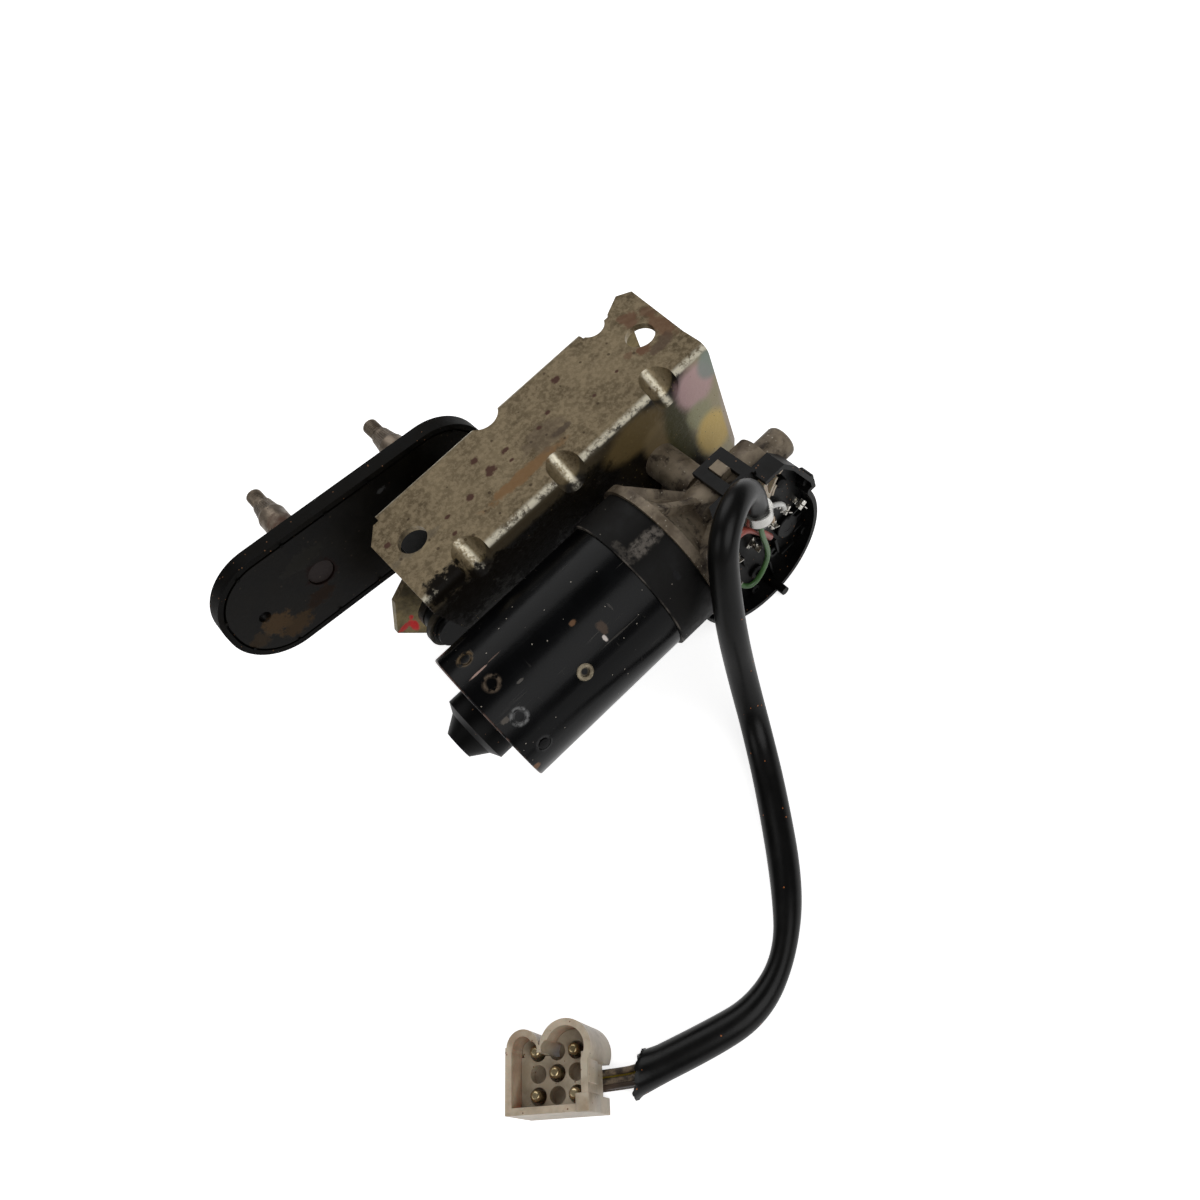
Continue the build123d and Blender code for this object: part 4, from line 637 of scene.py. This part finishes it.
eyeletLook = dict(
    dark=(0.12, 0.095, 0.06), light=(0.34, 0.29, 0.2), tone=(260, 5, 0.6), rough=(0.3, 0.7, 0.5, 0.65),
    metal=0.4, bump=0.2,
    # the zone: painted shade, near black, in the eyelet's bore and on its floor
    zones=(((37.4, -25.1, 16.3), (1.95, 1.95, 1.95), (0.004, 0.004, 0.004), 1.0, 0.05),),
)
spindleLook = dict(
    dark=plainSettings["spindleSteel"]["dark"], light=plainSettings["spindleSteel"]["light"], tone=(150, 6, 0.65),
    rough=(0.3, 1.4, 0.35, 0.8), metal=(0.1, 0.7, 0.6, 0.0), bump=0.4, pits=dict(scale=600, size=0.22, share=0.2),
    pitColour=plainSettings["spindleSteel"]["grimeColour"],
    zones=(((-10.6, 113, 4.4), (9, 5, 9), (0.009, 0.003, 0.002), 1.0, 0.1),
           ((-10.6, 146, 4.4), (9, 12, 9), (0.075, 0.03, 0.014), 0.95, 0.25),
           ((-10.6, 158, 4.4), (9, 3, 9), (0.1, 0.075, 0.055), 0.6, 0.4)),
)


def zonedFinish(name, settings, zonesRough):  # two-tone metal with painted places, rougher there where asked
    material, tree, coords, shade = startMaterial(name)
    tone = noiseNode(tree, coords, *settings["tone"])
    mix = rampNode(tree, tone, *plainDefaults["toneSplit"])
    colour, cover = paintZones(tree, coords, mixColour(tree, mix, settings["dark"], settings["light"]),
                               settings["zones"])
    if "pits" in settings:
        colour = mixColour(tree, useGroup(tree, "specks", coords, **settings["pits"]), colour, settings["pitColour"])
    rough = rampNode(tree, plus(tree, tone, cover) if zonesRough else tone, *settings["rough"])
    grain = noiseNode(tree, coords, plainDefaults["grainScale"], *plainDefaults["grain"])
    metal = settings["metal"]
    if isinstance(metal, tuple):
        metal = rampNode(tree, cover, *metal)
    finishSurface(tree, shade, colour, rough, metal, grain, settings["bump"])
    return material


finishes = {name: plainFinish(name, settings) for name, settings in plainSettings.items()}
finishes["eyeletBrass"] = zonedFinish("eyeletBrass", eyeletLook, False)
finishes["rustySpindle"] = zonedFinish("rustySpindle", spindleLook, True)
finishes["yokePaint"] = yokePaint(yokeLook)
finishes["bandRubber"] = bandRubber(bandLook)
finishes["zincPlate"] = zincPlate(zincLook)
finishes["plateSteel"] = plateSteel(plateLook)
print("finishes ready:", len(finishes))

nodeFinish = dict(
    yoke="yokePaint", yoke_eyelet="contactBrass", sealing_band="bandRubber", rear_cap="capPlastic",
    rear_bush="sinteredBronze", magnets="magnetFerrite", armature_shaft="bareSteel", armature_core="laminatedSteel",
    windings="woundCopper", commutator="woundCopper", brush_plate="coverPlastic", brushes="brushCarbon",
    gearbox_housing="castAlloy", worm_bushes="sinteredBronze", thrust_ball="bareSteel", thrust_pad="bareSteel",
    worm_wheel="whiteNylon", output_shaft="bareSteel", output_circlip="bareSteel", output_bush="sinteredBronze",
    crank="linkDark", crank_stud="linkDark", crank_nut="bareSteel", gear_cover="coverPlastic", bracket="zincPlate",
    leg_screws="bareSteel", drive_lever="linkDark", lever_stud="linkDark", link_rod="linkDark",
    link_sockets="coverPlastic", drive_spindle="spindleSteel", idler_spindle="rustySpindle", drive_tube="castAlloy",
    idler_housing="rustyCast", spindle_bushes="sinteredBronze", spindle_plate="plateSteel", pad_gasket="padRubber",
    connector_housing="agedNylon", connector_pins="contactBrass", cable_clamp="clampSteel", terminals="contactBrass",
    wire_white="wireWhite", wire_beige="wireBeige", wire_red="wireRed", wire_green="wireGreen",
)
for nodeName, finishName in nodeFinish.items():
    mesh = nodes[nodeName].data
    mesh.materials.clear()
    mesh.materials.append(finishes[finishName])


# Helpers for meshes and curves
def placePiece(name, data, finish, body="case"):
    piece = addObject(name, data)
    if finish:
        data.materials.append(finishes[finish])
    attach(piece, body)
    return piece


def keepMesh(name, form, finish, body="case", smooth=35):
    bmesh.ops.recalc_face_normals(form, faces=form.faces)
    mesh = bpy.data.meshes.new(name)
    form.to_mesh(mesh)
    form.free()
    mesh.shade_smooth()
    mesh.set_sharp_from_angle(angle=math.radians(smooth))
    return placePiece(name, mesh, finish, body)


def skinRows(form, rows, hoop=False):  # join rings of points with quads, then close the hoop or cap both ends
    rings = [[form.verts.new(point) for point in row] for row in rows]
    for low, high in zip(rings, rings[1:] + rings[:1] if hoop else rings[1:]):
        for k in range(len(low)):
            after = (k + 1) % len(low)
            form.faces.new((low[k], low[after], high[after], high[k]))
    if not hoop:
        form.faces.new(rings[0])
        form.faces.new(rings[-1])


def addBlock(form, corner, far, bevel=0.3):  # bevelled block between two opposite corners in mm
    low, high = spot(*corner), spot(*far)
    made = bmesh.ops.create_cube(form, size=1.0)
    middle, size = (low + high) / 2, high - low
    for vert in made["verts"]:
        vert.co = Vector((vert.co.x * size.x, vert.co.y * size.y, vert.co.z * size.z)) + middle
    edges = {edge for vert in made["verts"] for edge in vert.link_edges}
    bmesh.ops.bevel(form, geom=list(edges), offset=bevel * mm, segments=2, affect="EDGES", profile=0.5)


def addTurned(form, base, axis, profile, sides=32, hoop=False):  # profile of (along, radius) in mm from base
    axis = Vector(axis).normalized()
    first = axis.orthogonal().normalized()
    second = axis.cross(first)
    rows = []
    for along, radius in profile:
        centre = spot(*base) + axis * along * mm
        rows.append([centre + (first * math.cos(turn) + second * math.sin(turn)) * radius * mm
                     for turn in turns(sides)])
    skinRows(form, rows, hoop)


def makeTurned(name, node, settings, finish, hoop=False):
    form = bmesh.new()
    addTurned(form, settings["base"], settings["axis"], settings["profile"], settings["sides"], hoop)
    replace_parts(keepMesh(name, form, finish), node)


def keepCurve(name, run, radius, finish, resolution=8, sides=4, thick=None):  # run and radius in mm
    data = bpy.data.curves.new(name, "CURVE")
    data.dimensions = "3D"
    data.resolution_u = resolution
    data.bevel_depth = radius * mm
    data.bevel_resolution = sides
    data.use_fill_caps = True
    spline = data.splines.new("NURBS")
    spline.points.add(len(run) - 1)
    for k, (point, place) in enumerate(zip(spline.points, run)):
        point.co = (*spot(*place), 1)
        point.radius = thick[k] if thick else 1.0
    spline.order_u = 3
    spline.use_endpoint_u = True
    return placePiece(name, data, finish)


# Spindles with their real threads, splines and grooves
spindleShape = dict(  # profiles of (along, radius) from the yoke's axis
    columns=96, threadPitch=1.25, threadDepth=0.42, threadFade=1.0, threadSteps=8, threadSlack=(0.01, 1),
    splines=32, splineDepth=0.16, splineFade=0.8, longCone=4, coneSteps=12, sharp=40,
    drive=dict(
        place=(52.8, -3.7), splined=(152.2, 160.4), threaded=(162.6, 171.6),
        profile=((74, 6), (140.3, 6), (140.3, 6.8), (151.3, 6.8), (151.3, 6.4), (161.3, 4.85), (161.3, 3.4),
                 (162.3, 3.4), (162.6, 4), (171.5, 4), (172.3, 3.2))),
    idler=dict(
        place=(-10.6, 4.4), splined=(161, 168.4), threaded=(170.5, 178.9),
        profile=((113, 6), (140.3, 6), (140.3, 6.8), (159.8, 6.8), (159.8, 6.4), (169.3, 4.85), (169.3, 3.4),
                 (170.2, 3.4), (170.5, 4), (178.7, 4), (179.45, 3.2))),
)


def spindleLevels(shape, settings):  # stations along the spindle, close together on threads and cones
    threadFrom, threadTo = shape["threaded"]
    before, after = settings["threadSlack"]
    levels = []
    for (y0, r0), (y1, r1) in zip(shape["profile"], shape["profile"][1:]):
        steps = 1
        if y0 >= threadFrom - before and y1 <= threadTo + after:
            steps = max(1, int((y1 - y0) / settings["threadPitch"] * settings["threadSteps"]))
        elif r0 != r1 and y1 - y0 > settings["longCone"]:
            steps = settings["coneSteps"]
        levels += [(y0 + (y1 - y0) * k / steps, r0 + (r1 - r0) * k / steps) for k in range(steps)]
    return levels + [shape["profile"][-1]]


def makeSpindle(name, node, body, shape, settings, finish):
    x, z = shape["place"]
    (splineFrom, splineTo), (threadFrom, threadTo) = shape["splined"], shape["threaded"]
    rows = []
    for y, radius in spindleLevels(shape, settings):
        row = []
        for turn in turns(settings["columns"]):
            size = radius
            if threadFrom <= y <= threadTo:
                phase = ((y - threadFrom) / settings["threadPitch"] + turn / math.tau) % 1
                ends = min(1.0, (y - threadFrom) / settings["threadFade"], (threadTo - y) / settings["threadFade"])
                size -= settings["threadDepth"] * (1 - abs(2 * phase - 1)) * max(0.0, ends)
            if splineFrom <= y <= splineTo:
                ends = min(1.0, (y - splineFrom) / settings["splineFade"], (splineTo - y) / settings["splineFade"])
                size -= settings["splineDepth"] * (1 + math.cos(settings["splines"] * turn)) * max(0.0, ends)
            row.append(spot(x + size * math.cos(turn), y, z + size * math.sin(turn)))
        rows.append(row)
    form = bmesh.new()
    skinRows(form, rows)
    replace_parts(keepMesh(name, form, finish, body, settings["sharp"]), node)


makeSpindle("driveSpindle", "drive_spindle", "drive", spindleShape["drive"], spindleShape, "spindleSteel")
makeSpindle("idlerSpindle", "idler_spindle", "idler", spindleShape["idler"], spindleShape, "rustySpindle")
print("spindles ready")


# Rubber bridges across the groove round the spindle plate, set along its outline
bridges = dict(left=-59.5, right=84.6, middle=3.4, half=29.4, corner=27, turn=7.36, near=112, inset=3.0, spacing=23,
               long=1.5, wide=1.5, deep=1.2, cornerSteps=12)


def groovePath(settings):  # the plate's outline as a closed poly curve in the plane of its near face
    tilt = math.radians(settings["turn"])
    corner = settings["corner"] - settings["inset"]
    right, left = settings["right"] - settings["inset"] - corner, settings["left"] + settings["inset"] + corner
    high, low = (settings["middle"] + sign * (settings["half"] - settings["inset"] - corner) for sign in (1, -1))
    points = []
    for u, v, start in ((right, high, 0), (left, high, 90), (left, low, 180), (right, low, 270)):
        for angle in arcTurns(start, 90, settings["cornerSteps"]):
            a, b = u + corner * math.cos(angle), v + corner * math.sin(angle)
            points.append(spot(a * math.cos(tilt) + b * math.sin(tilt), settings["near"],
                               -a * math.sin(tilt) + b * math.cos(tilt)))
    return points


def bridgeTree(material):
    tree = bpy.data.node_groups.new("grooveBridges", "GeometryNodeTree")
    tree.interface.new_socket("Geometry", in_out="INPUT", socket_type="NodeSocketGeometry")
    sizes = {}
    for label, value in (("Spacing", 0.02), ("Length", 0.0015), ("Width", 0.0015), ("Depth", 0.0012)):
        socket = tree.interface.new_socket(label, in_out="INPUT", socket_type="NodeSocketFloat")
        socket.default_value = value
        sizes[label] = socket.identifier
    tree.interface.new_socket("Geometry", in_out="OUTPUT", socket_type="NodeSocketGeometry")
    kinds = dict(given="NodeGroupInput", curve="GeometryNodeMeshToCurve", points="GeometryNodeCurveToPoints",
                 size="ShaderNodeCombineXYZ", block="GeometryNodeMeshCube", place="GeometryNodeInstanceOnPoints",
                 real="GeometryNodeRealizeInstances", paint="GeometryNodeSetMaterial", out="NodeGroupOutput")
    made = {name: tree.nodes.new(kind) for name, kind in kinds.items()}
    made["points"].mode = "LENGTH"
    made["paint"].inputs["Material"].default_value = material
    for start, output, end, entry in (
            ("given", "Geometry", "curve", "Mesh"), ("curve", "Curve", "points", "Curve"),
            ("given", "Spacing", "points", "Length"), ("given", "Width", "size", "X"),
            ("given", "Depth", "size", "Y"), ("given", "Length", "size", "Z"), ("size", "Vector", "block", "Size"),
            ("block", "Mesh", "place", "Instance"), ("points", "Points", "place", "Points"),
            ("points", "Rotation", "place", "Rotation"), ("place", "Instances", "real", "Geometry"),
            ("real", "Geometry", "paint", "Geometry"), ("paint", "Geometry", "out", "Geometry")):
        tree.links.new(made[start].outputs[output], made[end].inputs[entry])
    return tree, sizes


def makeBridges(settings):  # run the tree once and keep a plain mesh
    points = groovePath(settings)
    mesh = bpy.data.meshes.new("groovePath")
    mesh.from_pydata(points, [(k, (k + 1) % len(points)) for k in range(len(points))], [])
    source = addObject("groovePath", mesh)
    tree, sizes = bridgeTree(finishes["padRubber"])
    modifier = source.modifiers.new("nodes", "NODES")
    modifier.node_group = tree
    for label, key in (("Spacing", "spacing"), ("Length", "long"), ("Width", "wide"), ("Depth", "deep")):
        modifier[sizes[label]] = settings[key] * mm
    graph = bpy.context.evaluated_depsgraph_get()
    plain = bpy.data.meshes.new_from_object(source.evaluated_get(graph), depsgraph=graph)
    plain.name = "grooveBridges"
    source.modifiers.clear()
    bpy.data.objects.remove(source, do_unlink=True)
    placePiece("grooveBridges", plain, None)


makeBridges(bridges)
print("pad groove ready")

# Tray: ribs, round boss, knob and hook on the gear cover
trayParts = dict(
    floor=-10.5, sunk=0.3, ribEdge=0.25, bossSides=28, knobSides=24,
    # each rib: two corners in X and Z, height reached along Y; each boss: X, Z, radius, height
    ribs=((147, -29.2, 158.5, -28, -12.6), (147, -33.6, 157.6, -32.4, -12.4), (149, -41, 155, -40, -12.6),
        (132.5, -58, 133.7, -45, -12.6), (112, -52, 113.2, -42, -12.6), (104, -46, 116, -45, -12.2),
        (120, -31, 121.2, -24, -14), (131, -28, 132.2, -21, -14), (140, -48, 148, -46.8, -12.6),
        (137.8, -43, 139, -33, -13.4)),
    bosses=((146.5, -33, 5.6, 2.4), (136.6, -41.5, 3, 2.2), (126, -45, 3.4, 2), (114, -37.5, 3, 2),
        (153.5, -43.5, 2.2, 4), (122, -53.5, 2.4, 3)),
    rim=dict(round=0.3, shoulder=0.4, mouth=0.45, sunk=0.9, bore=0.4),
    knobs=(((148.4, -11, -1.2), (-0.25, -1, 0.25), ((0, 2.6), (3.4, 2.5), (4.2, 2.0), (4.4, 0.9))),
           ((160.6, -9, -13.5), (0, -1, 0), ((0, 3.2), (5.5, 3.1), (6.2, 2.5), (6.2, 1.3), (4.8, 1.2)))),
    # each ribbon of the hook: path in X and Z, width, near and far side along Y
    ribbons=(
        (((140.4, -1.5), (139.4, 2), (139.8, 6), (142, 9.2), (145.2, 10.4), (148, 9), (148.8, 6)), 2.1, -14.6, -10.8),
        (((140.2, -2.5), (143.4, 1.5), (146.5, 4.6)), 1.2, -14.2, -10.8),
        (((142.2, -3), (143.8, -0.6), (145.4, 0.6)), 1.1, -14.2, -10.8)),
    ribbonStep=0.3,
)


def addRibbon(form, path, width, near, step, far):  # flat strip on edge along a path in the tray's plane
    points = [Vector((x, z)) for x, z in path]
    left, right = [], []
    for k, point in enumerate(points):
        along = (points[min(k + 1, len(points) - 1)] - points[max(k - 1, 0)]).normalized()
        side = Vector((-along.y, along.x)) * width / 2
        left.append(point + side)
        right.append(point - side)
    skinRows(form, [[spot(p.x, y, p.y) for p in left + right[::-1]] for y in (near, near + step, far)])


def makeTray(settings):
    top = settings["floor"] + settings["sunk"]
    ribs = bmesh.new()
    for x, z, farX, farZ, near in settings["ribs"]:
        addBlock(ribs, (x, near, z), (farX, top, farZ), settings["ribEdge"])
    rim = settings["rim"]
    for x, z, radius, height in settings["bosses"]:
        profile = ((0, radius), (height - rim["round"], radius), (height, radius - rim["shoulder"]),
                   (height, radius * rim["mouth"]), (height - rim["sunk"], radius * rim["bore"]))
        addTurned(ribs, (x, top, z), (0, -1, 0), profile, settings["bossSides"])
    keepMesh("trayRibs", ribs, "coverPlastic")
    hook = bmesh.new()
    for path, width, near, far in settings["ribbons"]:
        addRibbon(hook, path, width, near, settings["ribbonStep"], far)
    keepMesh("trayHook", hook, "agedNylon")
    knobs = bmesh.new()
    for base, axis, profile in settings["knobs"]:
        addTurned(knobs, base, axis, profile, settings["knobSides"])
    keepMesh("trayKnobs", knobs, "coverPlastic")


makeTray(trayParts)
print("tray ready")

# Terminals: a tab on the tray and a crimped barrel round each wire end
terminalShape = dict(
    places=((118, -20, 0.3), (128, -24, -0.4), (139, -20, 0.5), (147, -19, 0.9), (155, -25, 1.2), (114, -34, -0.2)),
    floor=-10.5, tab=(2.8, 0.4, 5.6), tabHigh=6.2, tabEdge=0.12, foot=1.0, footEdge=0.15, sunk=0.2,
    barrel=(1.5, 4.2), rise=3.2, opening=300, barrelSteps=8, inside=0.72,
)  # each place: X, Z and turn


def makeTerminals(settings):
    form = bmesh.new()
    width, thick, length = settings["tab"]
    radius, long = settings["barrel"]
    floor, base = settings["floor"], settings["floor"] + settings["sunk"]
    lift = floor - settings["rise"]
    bends = arcTurns(-settings["opening"] / 2, settings["opening"], settings["barrelSteps"])
    arc = [(radius * math.cos(angle), radius * math.sin(angle)) for angle in bends]
    arc += [(settings["inside"] * x, settings["inside"] * y) for x, y in reversed(arc)]
    for x, z, turn in settings["places"]:
        start = len(form.verts)
        for halfX, high, halfZ, edge in ((width / 2, settings["tabHigh"], thick / 2, settings["tabEdge"]),
                                         (length / 2, settings["foot"], width / 2, settings["footEdge"])):
            addBlock(form, (x - halfX, floor - high, z - halfZ), (x + halfX, base, z + halfZ), edge)
        skinRows(form, [[spot(x + a, lift + b, z + end) for a, b in arc] for end in (-long / 2, long / 2)])
        form.verts.ensure_lookup_table()
        centre = spot(x, floor, z)
        matrix = Matrix.Translation(centre) @ Matrix.Rotation(turn, 4, "Y") @ Matrix.Translation(-centre)
        bmesh.ops.transform(form, matrix=matrix, verts=form.verts[start:])
    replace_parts(keepMesh("terminalSet", form, "tinnedBrass"), "terminals")


makeTerminals(terminalShape)

# Red wire across the tray, clamp band on the start of the sleeve and the inner cable below it
redWire = dict(run=((118, -17.5, -1.5), (121, -18, 0), (125, -18, -2.5), (130.8, -17, -13.6), (134.4, -16, -22.4)),
               radius=1.6)
clamp = dict(base=(129.8, -19.5, 2.2), axis=(0.04, -0.08, 1), sides=48,
             profile=((0, 4.6), (0, 5.9), (0.4, 6.2), (6.2, 6.2), (6.6, 5.9), (6.6, 4.6)))
innerCable = dict(run=((129.9, -19.7, 6), (129.7, -19.3, 1), (130.5, -18, -3.5)), radius=4.3)
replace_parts(keepCurve("redWire", redWire["run"], redWire["radius"], "wireRed"), "wire_red")
makeTurned("clampBand", "cable_clamp", clamp, "clampSteel", hoop=True)
keepCurve("innerCable", innerCable["run"], innerCable["radius"], "sleevePvc", sides=6)

# Eyelet with a rolled rim, its bore painted near black as shade
eyelet = dict(base=(37.4, -24.9, 16.15), axis=(0, -0.8387, 0.5446), sides=40,
              profile=((-0.6, 3.35), (0.55, 3.35), (0.95, 3.0), (1.0, 2.4), (0.7, 1.9), (0.1, 1.7), (-0.4, 1.6)))
makeTurned("yokeEyelet", "yoke_eyelet", eyelet, "eyeletBrass")
print("small fittings ready")

# Cable sleeve, its torn mouth and the loose wires that leave it
floorZ = -60
lieZ = floorZ + 6.4
sleeve = dict(
    radius=6.1, length=296.1,
    route=((129.8, -19.5, 4), (130.3, -20.5, 16), (126, -23.3, 28.5), (115.5, -28.7, 35.5), (103.5, -34.8, 32.5),
           (97.3, -38.4, 21), (88.8, -45.1, -0.4), (83.3, -49.6, -27.1), (75.1, -60.5, -48.3), (60.4, -82.5, lieZ),
           (38.4, -112.5, lieZ), (20, -129, lieZ), (0, -135, lieZ), (-20, -130.5, lieZ), (-45.1, -121.8, lieZ)),
    thick=(0.78, 0.82, 0.86, 0.9, 0.92, 0.93, 0.95, 0.97, 0.98, 1, 1, 0.66, 0.9, 1.04, 1.04),
)
mouth = dict(  # stations: distance past the end and size; tears: size, count and phase round the lip
    outer=6.45, wall=0.9, back=9, reach=1.8, slant=4.6, teeth=0.9, sides=64, floorGap=0.15, sharp=45,
    stations=((-9, 0.97), (-4.95, 1.0), (0, 1.05), (1.08, 1.1), (1.8, 1.16)),
    tears=((0.5, 5, 1.1), (0.35, 11, 0), (0.3, 23, 0.6)),
)


def makeMouth(settings, run):  # the cut end of the sleeve, opened out and torn, its lip slanting
    end, before = Vector(run[-1]), Vector(run[-2])
    axis = (end - before).normalized()
    side = axis.cross(Vector((0, 0, 1))).normalized()
    up = side.cross(axis)
    walls = [(*station, 0.0) for station in settings["stations"]]
    walls += [(*station, settings["wall"]) for station in reversed(settings["stations"][1:])]
    rows = []
    for station, size, inset in walls:
        share = max(0.0, station / settings["reach"])
        sheared = (station + settings["back"]) / (settings["reach"] + settings["back"])
        radius = settings["outer"] * size - inset
        row = []
        for turn in turns(settings["sides"]):
            tear = sum(part * math.sin(count * turn + phase) for part, count, phase in settings["tears"])
            tear *= settings["teeth"]
            length = station + share * tear - sheared * settings["slant"] * math.cos(turn)
            place = end + axis * length + (side * math.cos(turn) + up * math.sin(turn)) * radius
            place.z = max(place.z, floorZ + settings["floorGap"])
            row.append(spot(*place))
        rows.append(row)
    form = bmesh.new()
    skinRows(form, rows, hoop=True)
    return keepMesh("sleeveMouth", form, "sleevePvc", smooth=settings["sharp"])


connector = dict(centre=(-70, -104.2), turn=-38.5, foot=floorZ + 1, width=30.5)
looseWires = dict(  # each wire: finish, step aside and step up from the run
    radius=1.15, inside=5, outside=2, clear=4, entry=8, high=4, aside=0.5,
    wires=(("wireDark", -2.9, -1.5), ("wireBraid", -0.9, 1.4), ("sleevePvc", 2.6, -1.7), ("wireYellow", 0.5, -0.8),
           ("wireBraid", 2.2, 0.9), ("wireDark", -2.6, 0.9)),
)


def makeLooseWires(settings, plug, run):
    angle = math.radians(plug["turn"])
    across = Vector((math.cos(angle), math.sin(angle), 0))
    back = Vector((-math.sin(angle), math.cos(angle), 0))
    foot = Vector((*plug["centre"], plug["foot"])) + Vector((0, 0, settings["high"]))
    end, before = Vector(run[-1]), Vector(run[-2])
    outward = (end - before).normalized()
    sideways = outward.cross(Vector((0, 0, 1)))
    pieces = []
    for number, (finish, side, lift) in enumerate(settings["wires"]):
        step = sideways * side + Vector((0, 0, lift))
        points = (end - outward * settings["inside"], end + outward * settings["outside"],
                  foot + across * (plug["width"] / 2 + settings["clear"]) + back * settings["aside"],
                  foot + across * settings["entry"])
        pieces.append(keepCurve("looseWire%d" % number, [point + step for point in points], settings["radius"], finish,
                                sides=3))
    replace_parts(pieces[0], "loose_wires")
    return pieces


# Connector: insert with its nine pockets, corner block and side rib
insert = dict(top=16.3, foot=9, wall=2.55, width=30.5, depth=22, lobes=((7.1, 9.7, 9.5), (-8.8, 10.7, 6)),
              lobeSteps=14, grid=(1, 2.5, 7.2), pocket=3.05, pocketFoot=11.2, pocketOver=2, pocketSides=28)
plugTrim = dict(edge=0.4, blocks=(((10.6, -11.2, 12), (15.5, -5.2, 26.3)), ((12.7, -2.2, 14), (15.6, 8, 25.2))))


def plugSpot(plug, x, y, z):  # from the connector's own millimetres to the frame
    cosine, sine = math.cos(math.radians(plug["turn"])), math.sin(math.radians(plug["turn"]))
    cx, cy = plug["centre"]
    return spot(cx + x * cosine - y * sine, cy + x * sine + y * cosine, plug["foot"] + z)


def insertOutline(settings):
    halfX, halfY = settings["width"] / 2 - settings["wall"], settings["depth"] / 2 - settings["wall"]
    points = [(-halfX, -halfY), (halfX, -halfY)]
    for x, y, radius in settings["lobes"]:
        reach = radius - settings["wall"]
        start = math.degrees(math.asin(max(-1.0, min(1.0, (halfY - y) / reach))))
        for angle in arcTurns(start, 180 - 2 * start, settings["lobeSteps"]):
            points.append((min(halfX, max(-halfX, x + reach * math.cos(angle))), y + reach * math.sin(angle)))
    points.append((-halfX, halfY))
    return points


def makeInsert(settings, plug):  # filled lower half of the cavity with nine round pockets cut in it
    outline = insertOutline(settings)
    form = bmesh.new()
    skinRows(form, [[plugSpot(plug, x, y, z) for x, y in outline] for z in (settings["foot"], settings["top"])])
    body = keepMesh("connectorInsert", form, "agedNylon")
    cuts = bmesh.new()
    cx, cy, pitch = settings["grid"]
    circle = [(settings["pocket"] * math.cos(turn), settings["pocket"] * math.sin(turn))
              for turn in turns(settings["pocketSides"])]
    for column in (-1, 0, 1):
        for row in (-1, 0, 1):
            skinRows(cuts, [[plugSpot(plug, cx + column * pitch + x, cy + row * pitch + y, z) for x, y in circle]
                            for z in (settings["pocketFoot"], settings["top"] + settings["pocketOver"])])
    bmesh.ops.recalc_face_normals(cuts, faces=cuts.faces)
    cutMesh = bpy.data.meshes.new("pockets")
    cuts.to_mesh(cutMesh)
    cuts.free()
    cutter = addObject("pockets", cutMesh)
    carve = body.modifiers.new("pockets", "BOOLEAN")
    carve.operation = "DIFFERENCE"
    carve.solver = "EXACT"
    carve.object = cutter
    graph = bpy.context.evaluated_depsgraph_get()
    carved = bpy.data.meshes.new_from_object(body.evaluated_get(graph), depsgraph=graph)
    body.modifiers.clear()
    body.data = carved
    bpy.data.objects.remove(cutter, do_unlink=True)
    return body


def makePlugTrim(settings, plug):  # corner block and side rib of the housing
    form = bmesh.new()
    for low, high in settings["blocks"]:
        start = len(form.verts)
        addBlock(form, low, high, settings["edge"])
        form.verts.ensure_lookup_table()
        for vert in form.verts[start:]:
            vert.co = plugSpot(plug, *((vert.co - origin) / mm))
    return keepMesh("connectorTrim", form, "agedNylon")


placeCamera(camera)
setStudio(studio)
addFloor(studio)
sleevePiece = keepCurve("cableSleeve", sleeve["route"], sleeve["radius"], "sleevePvc",
                        resolution=12, sides=8, thick=sleeve["thick"])
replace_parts(sleevePiece, "cable_sleeve")
mouthPiece = makeMouth(mouth, sleeve["route"])
wirePieces = makeLooseWires(looseWires, connector, sleeve["route"])
insertPiece = makeInsert(insert, connector)
trimPiece = makePlugTrim(plugTrim, connector)
print("cable ready")

bpy.context.scene.view_settings.view_transform = "Standard"
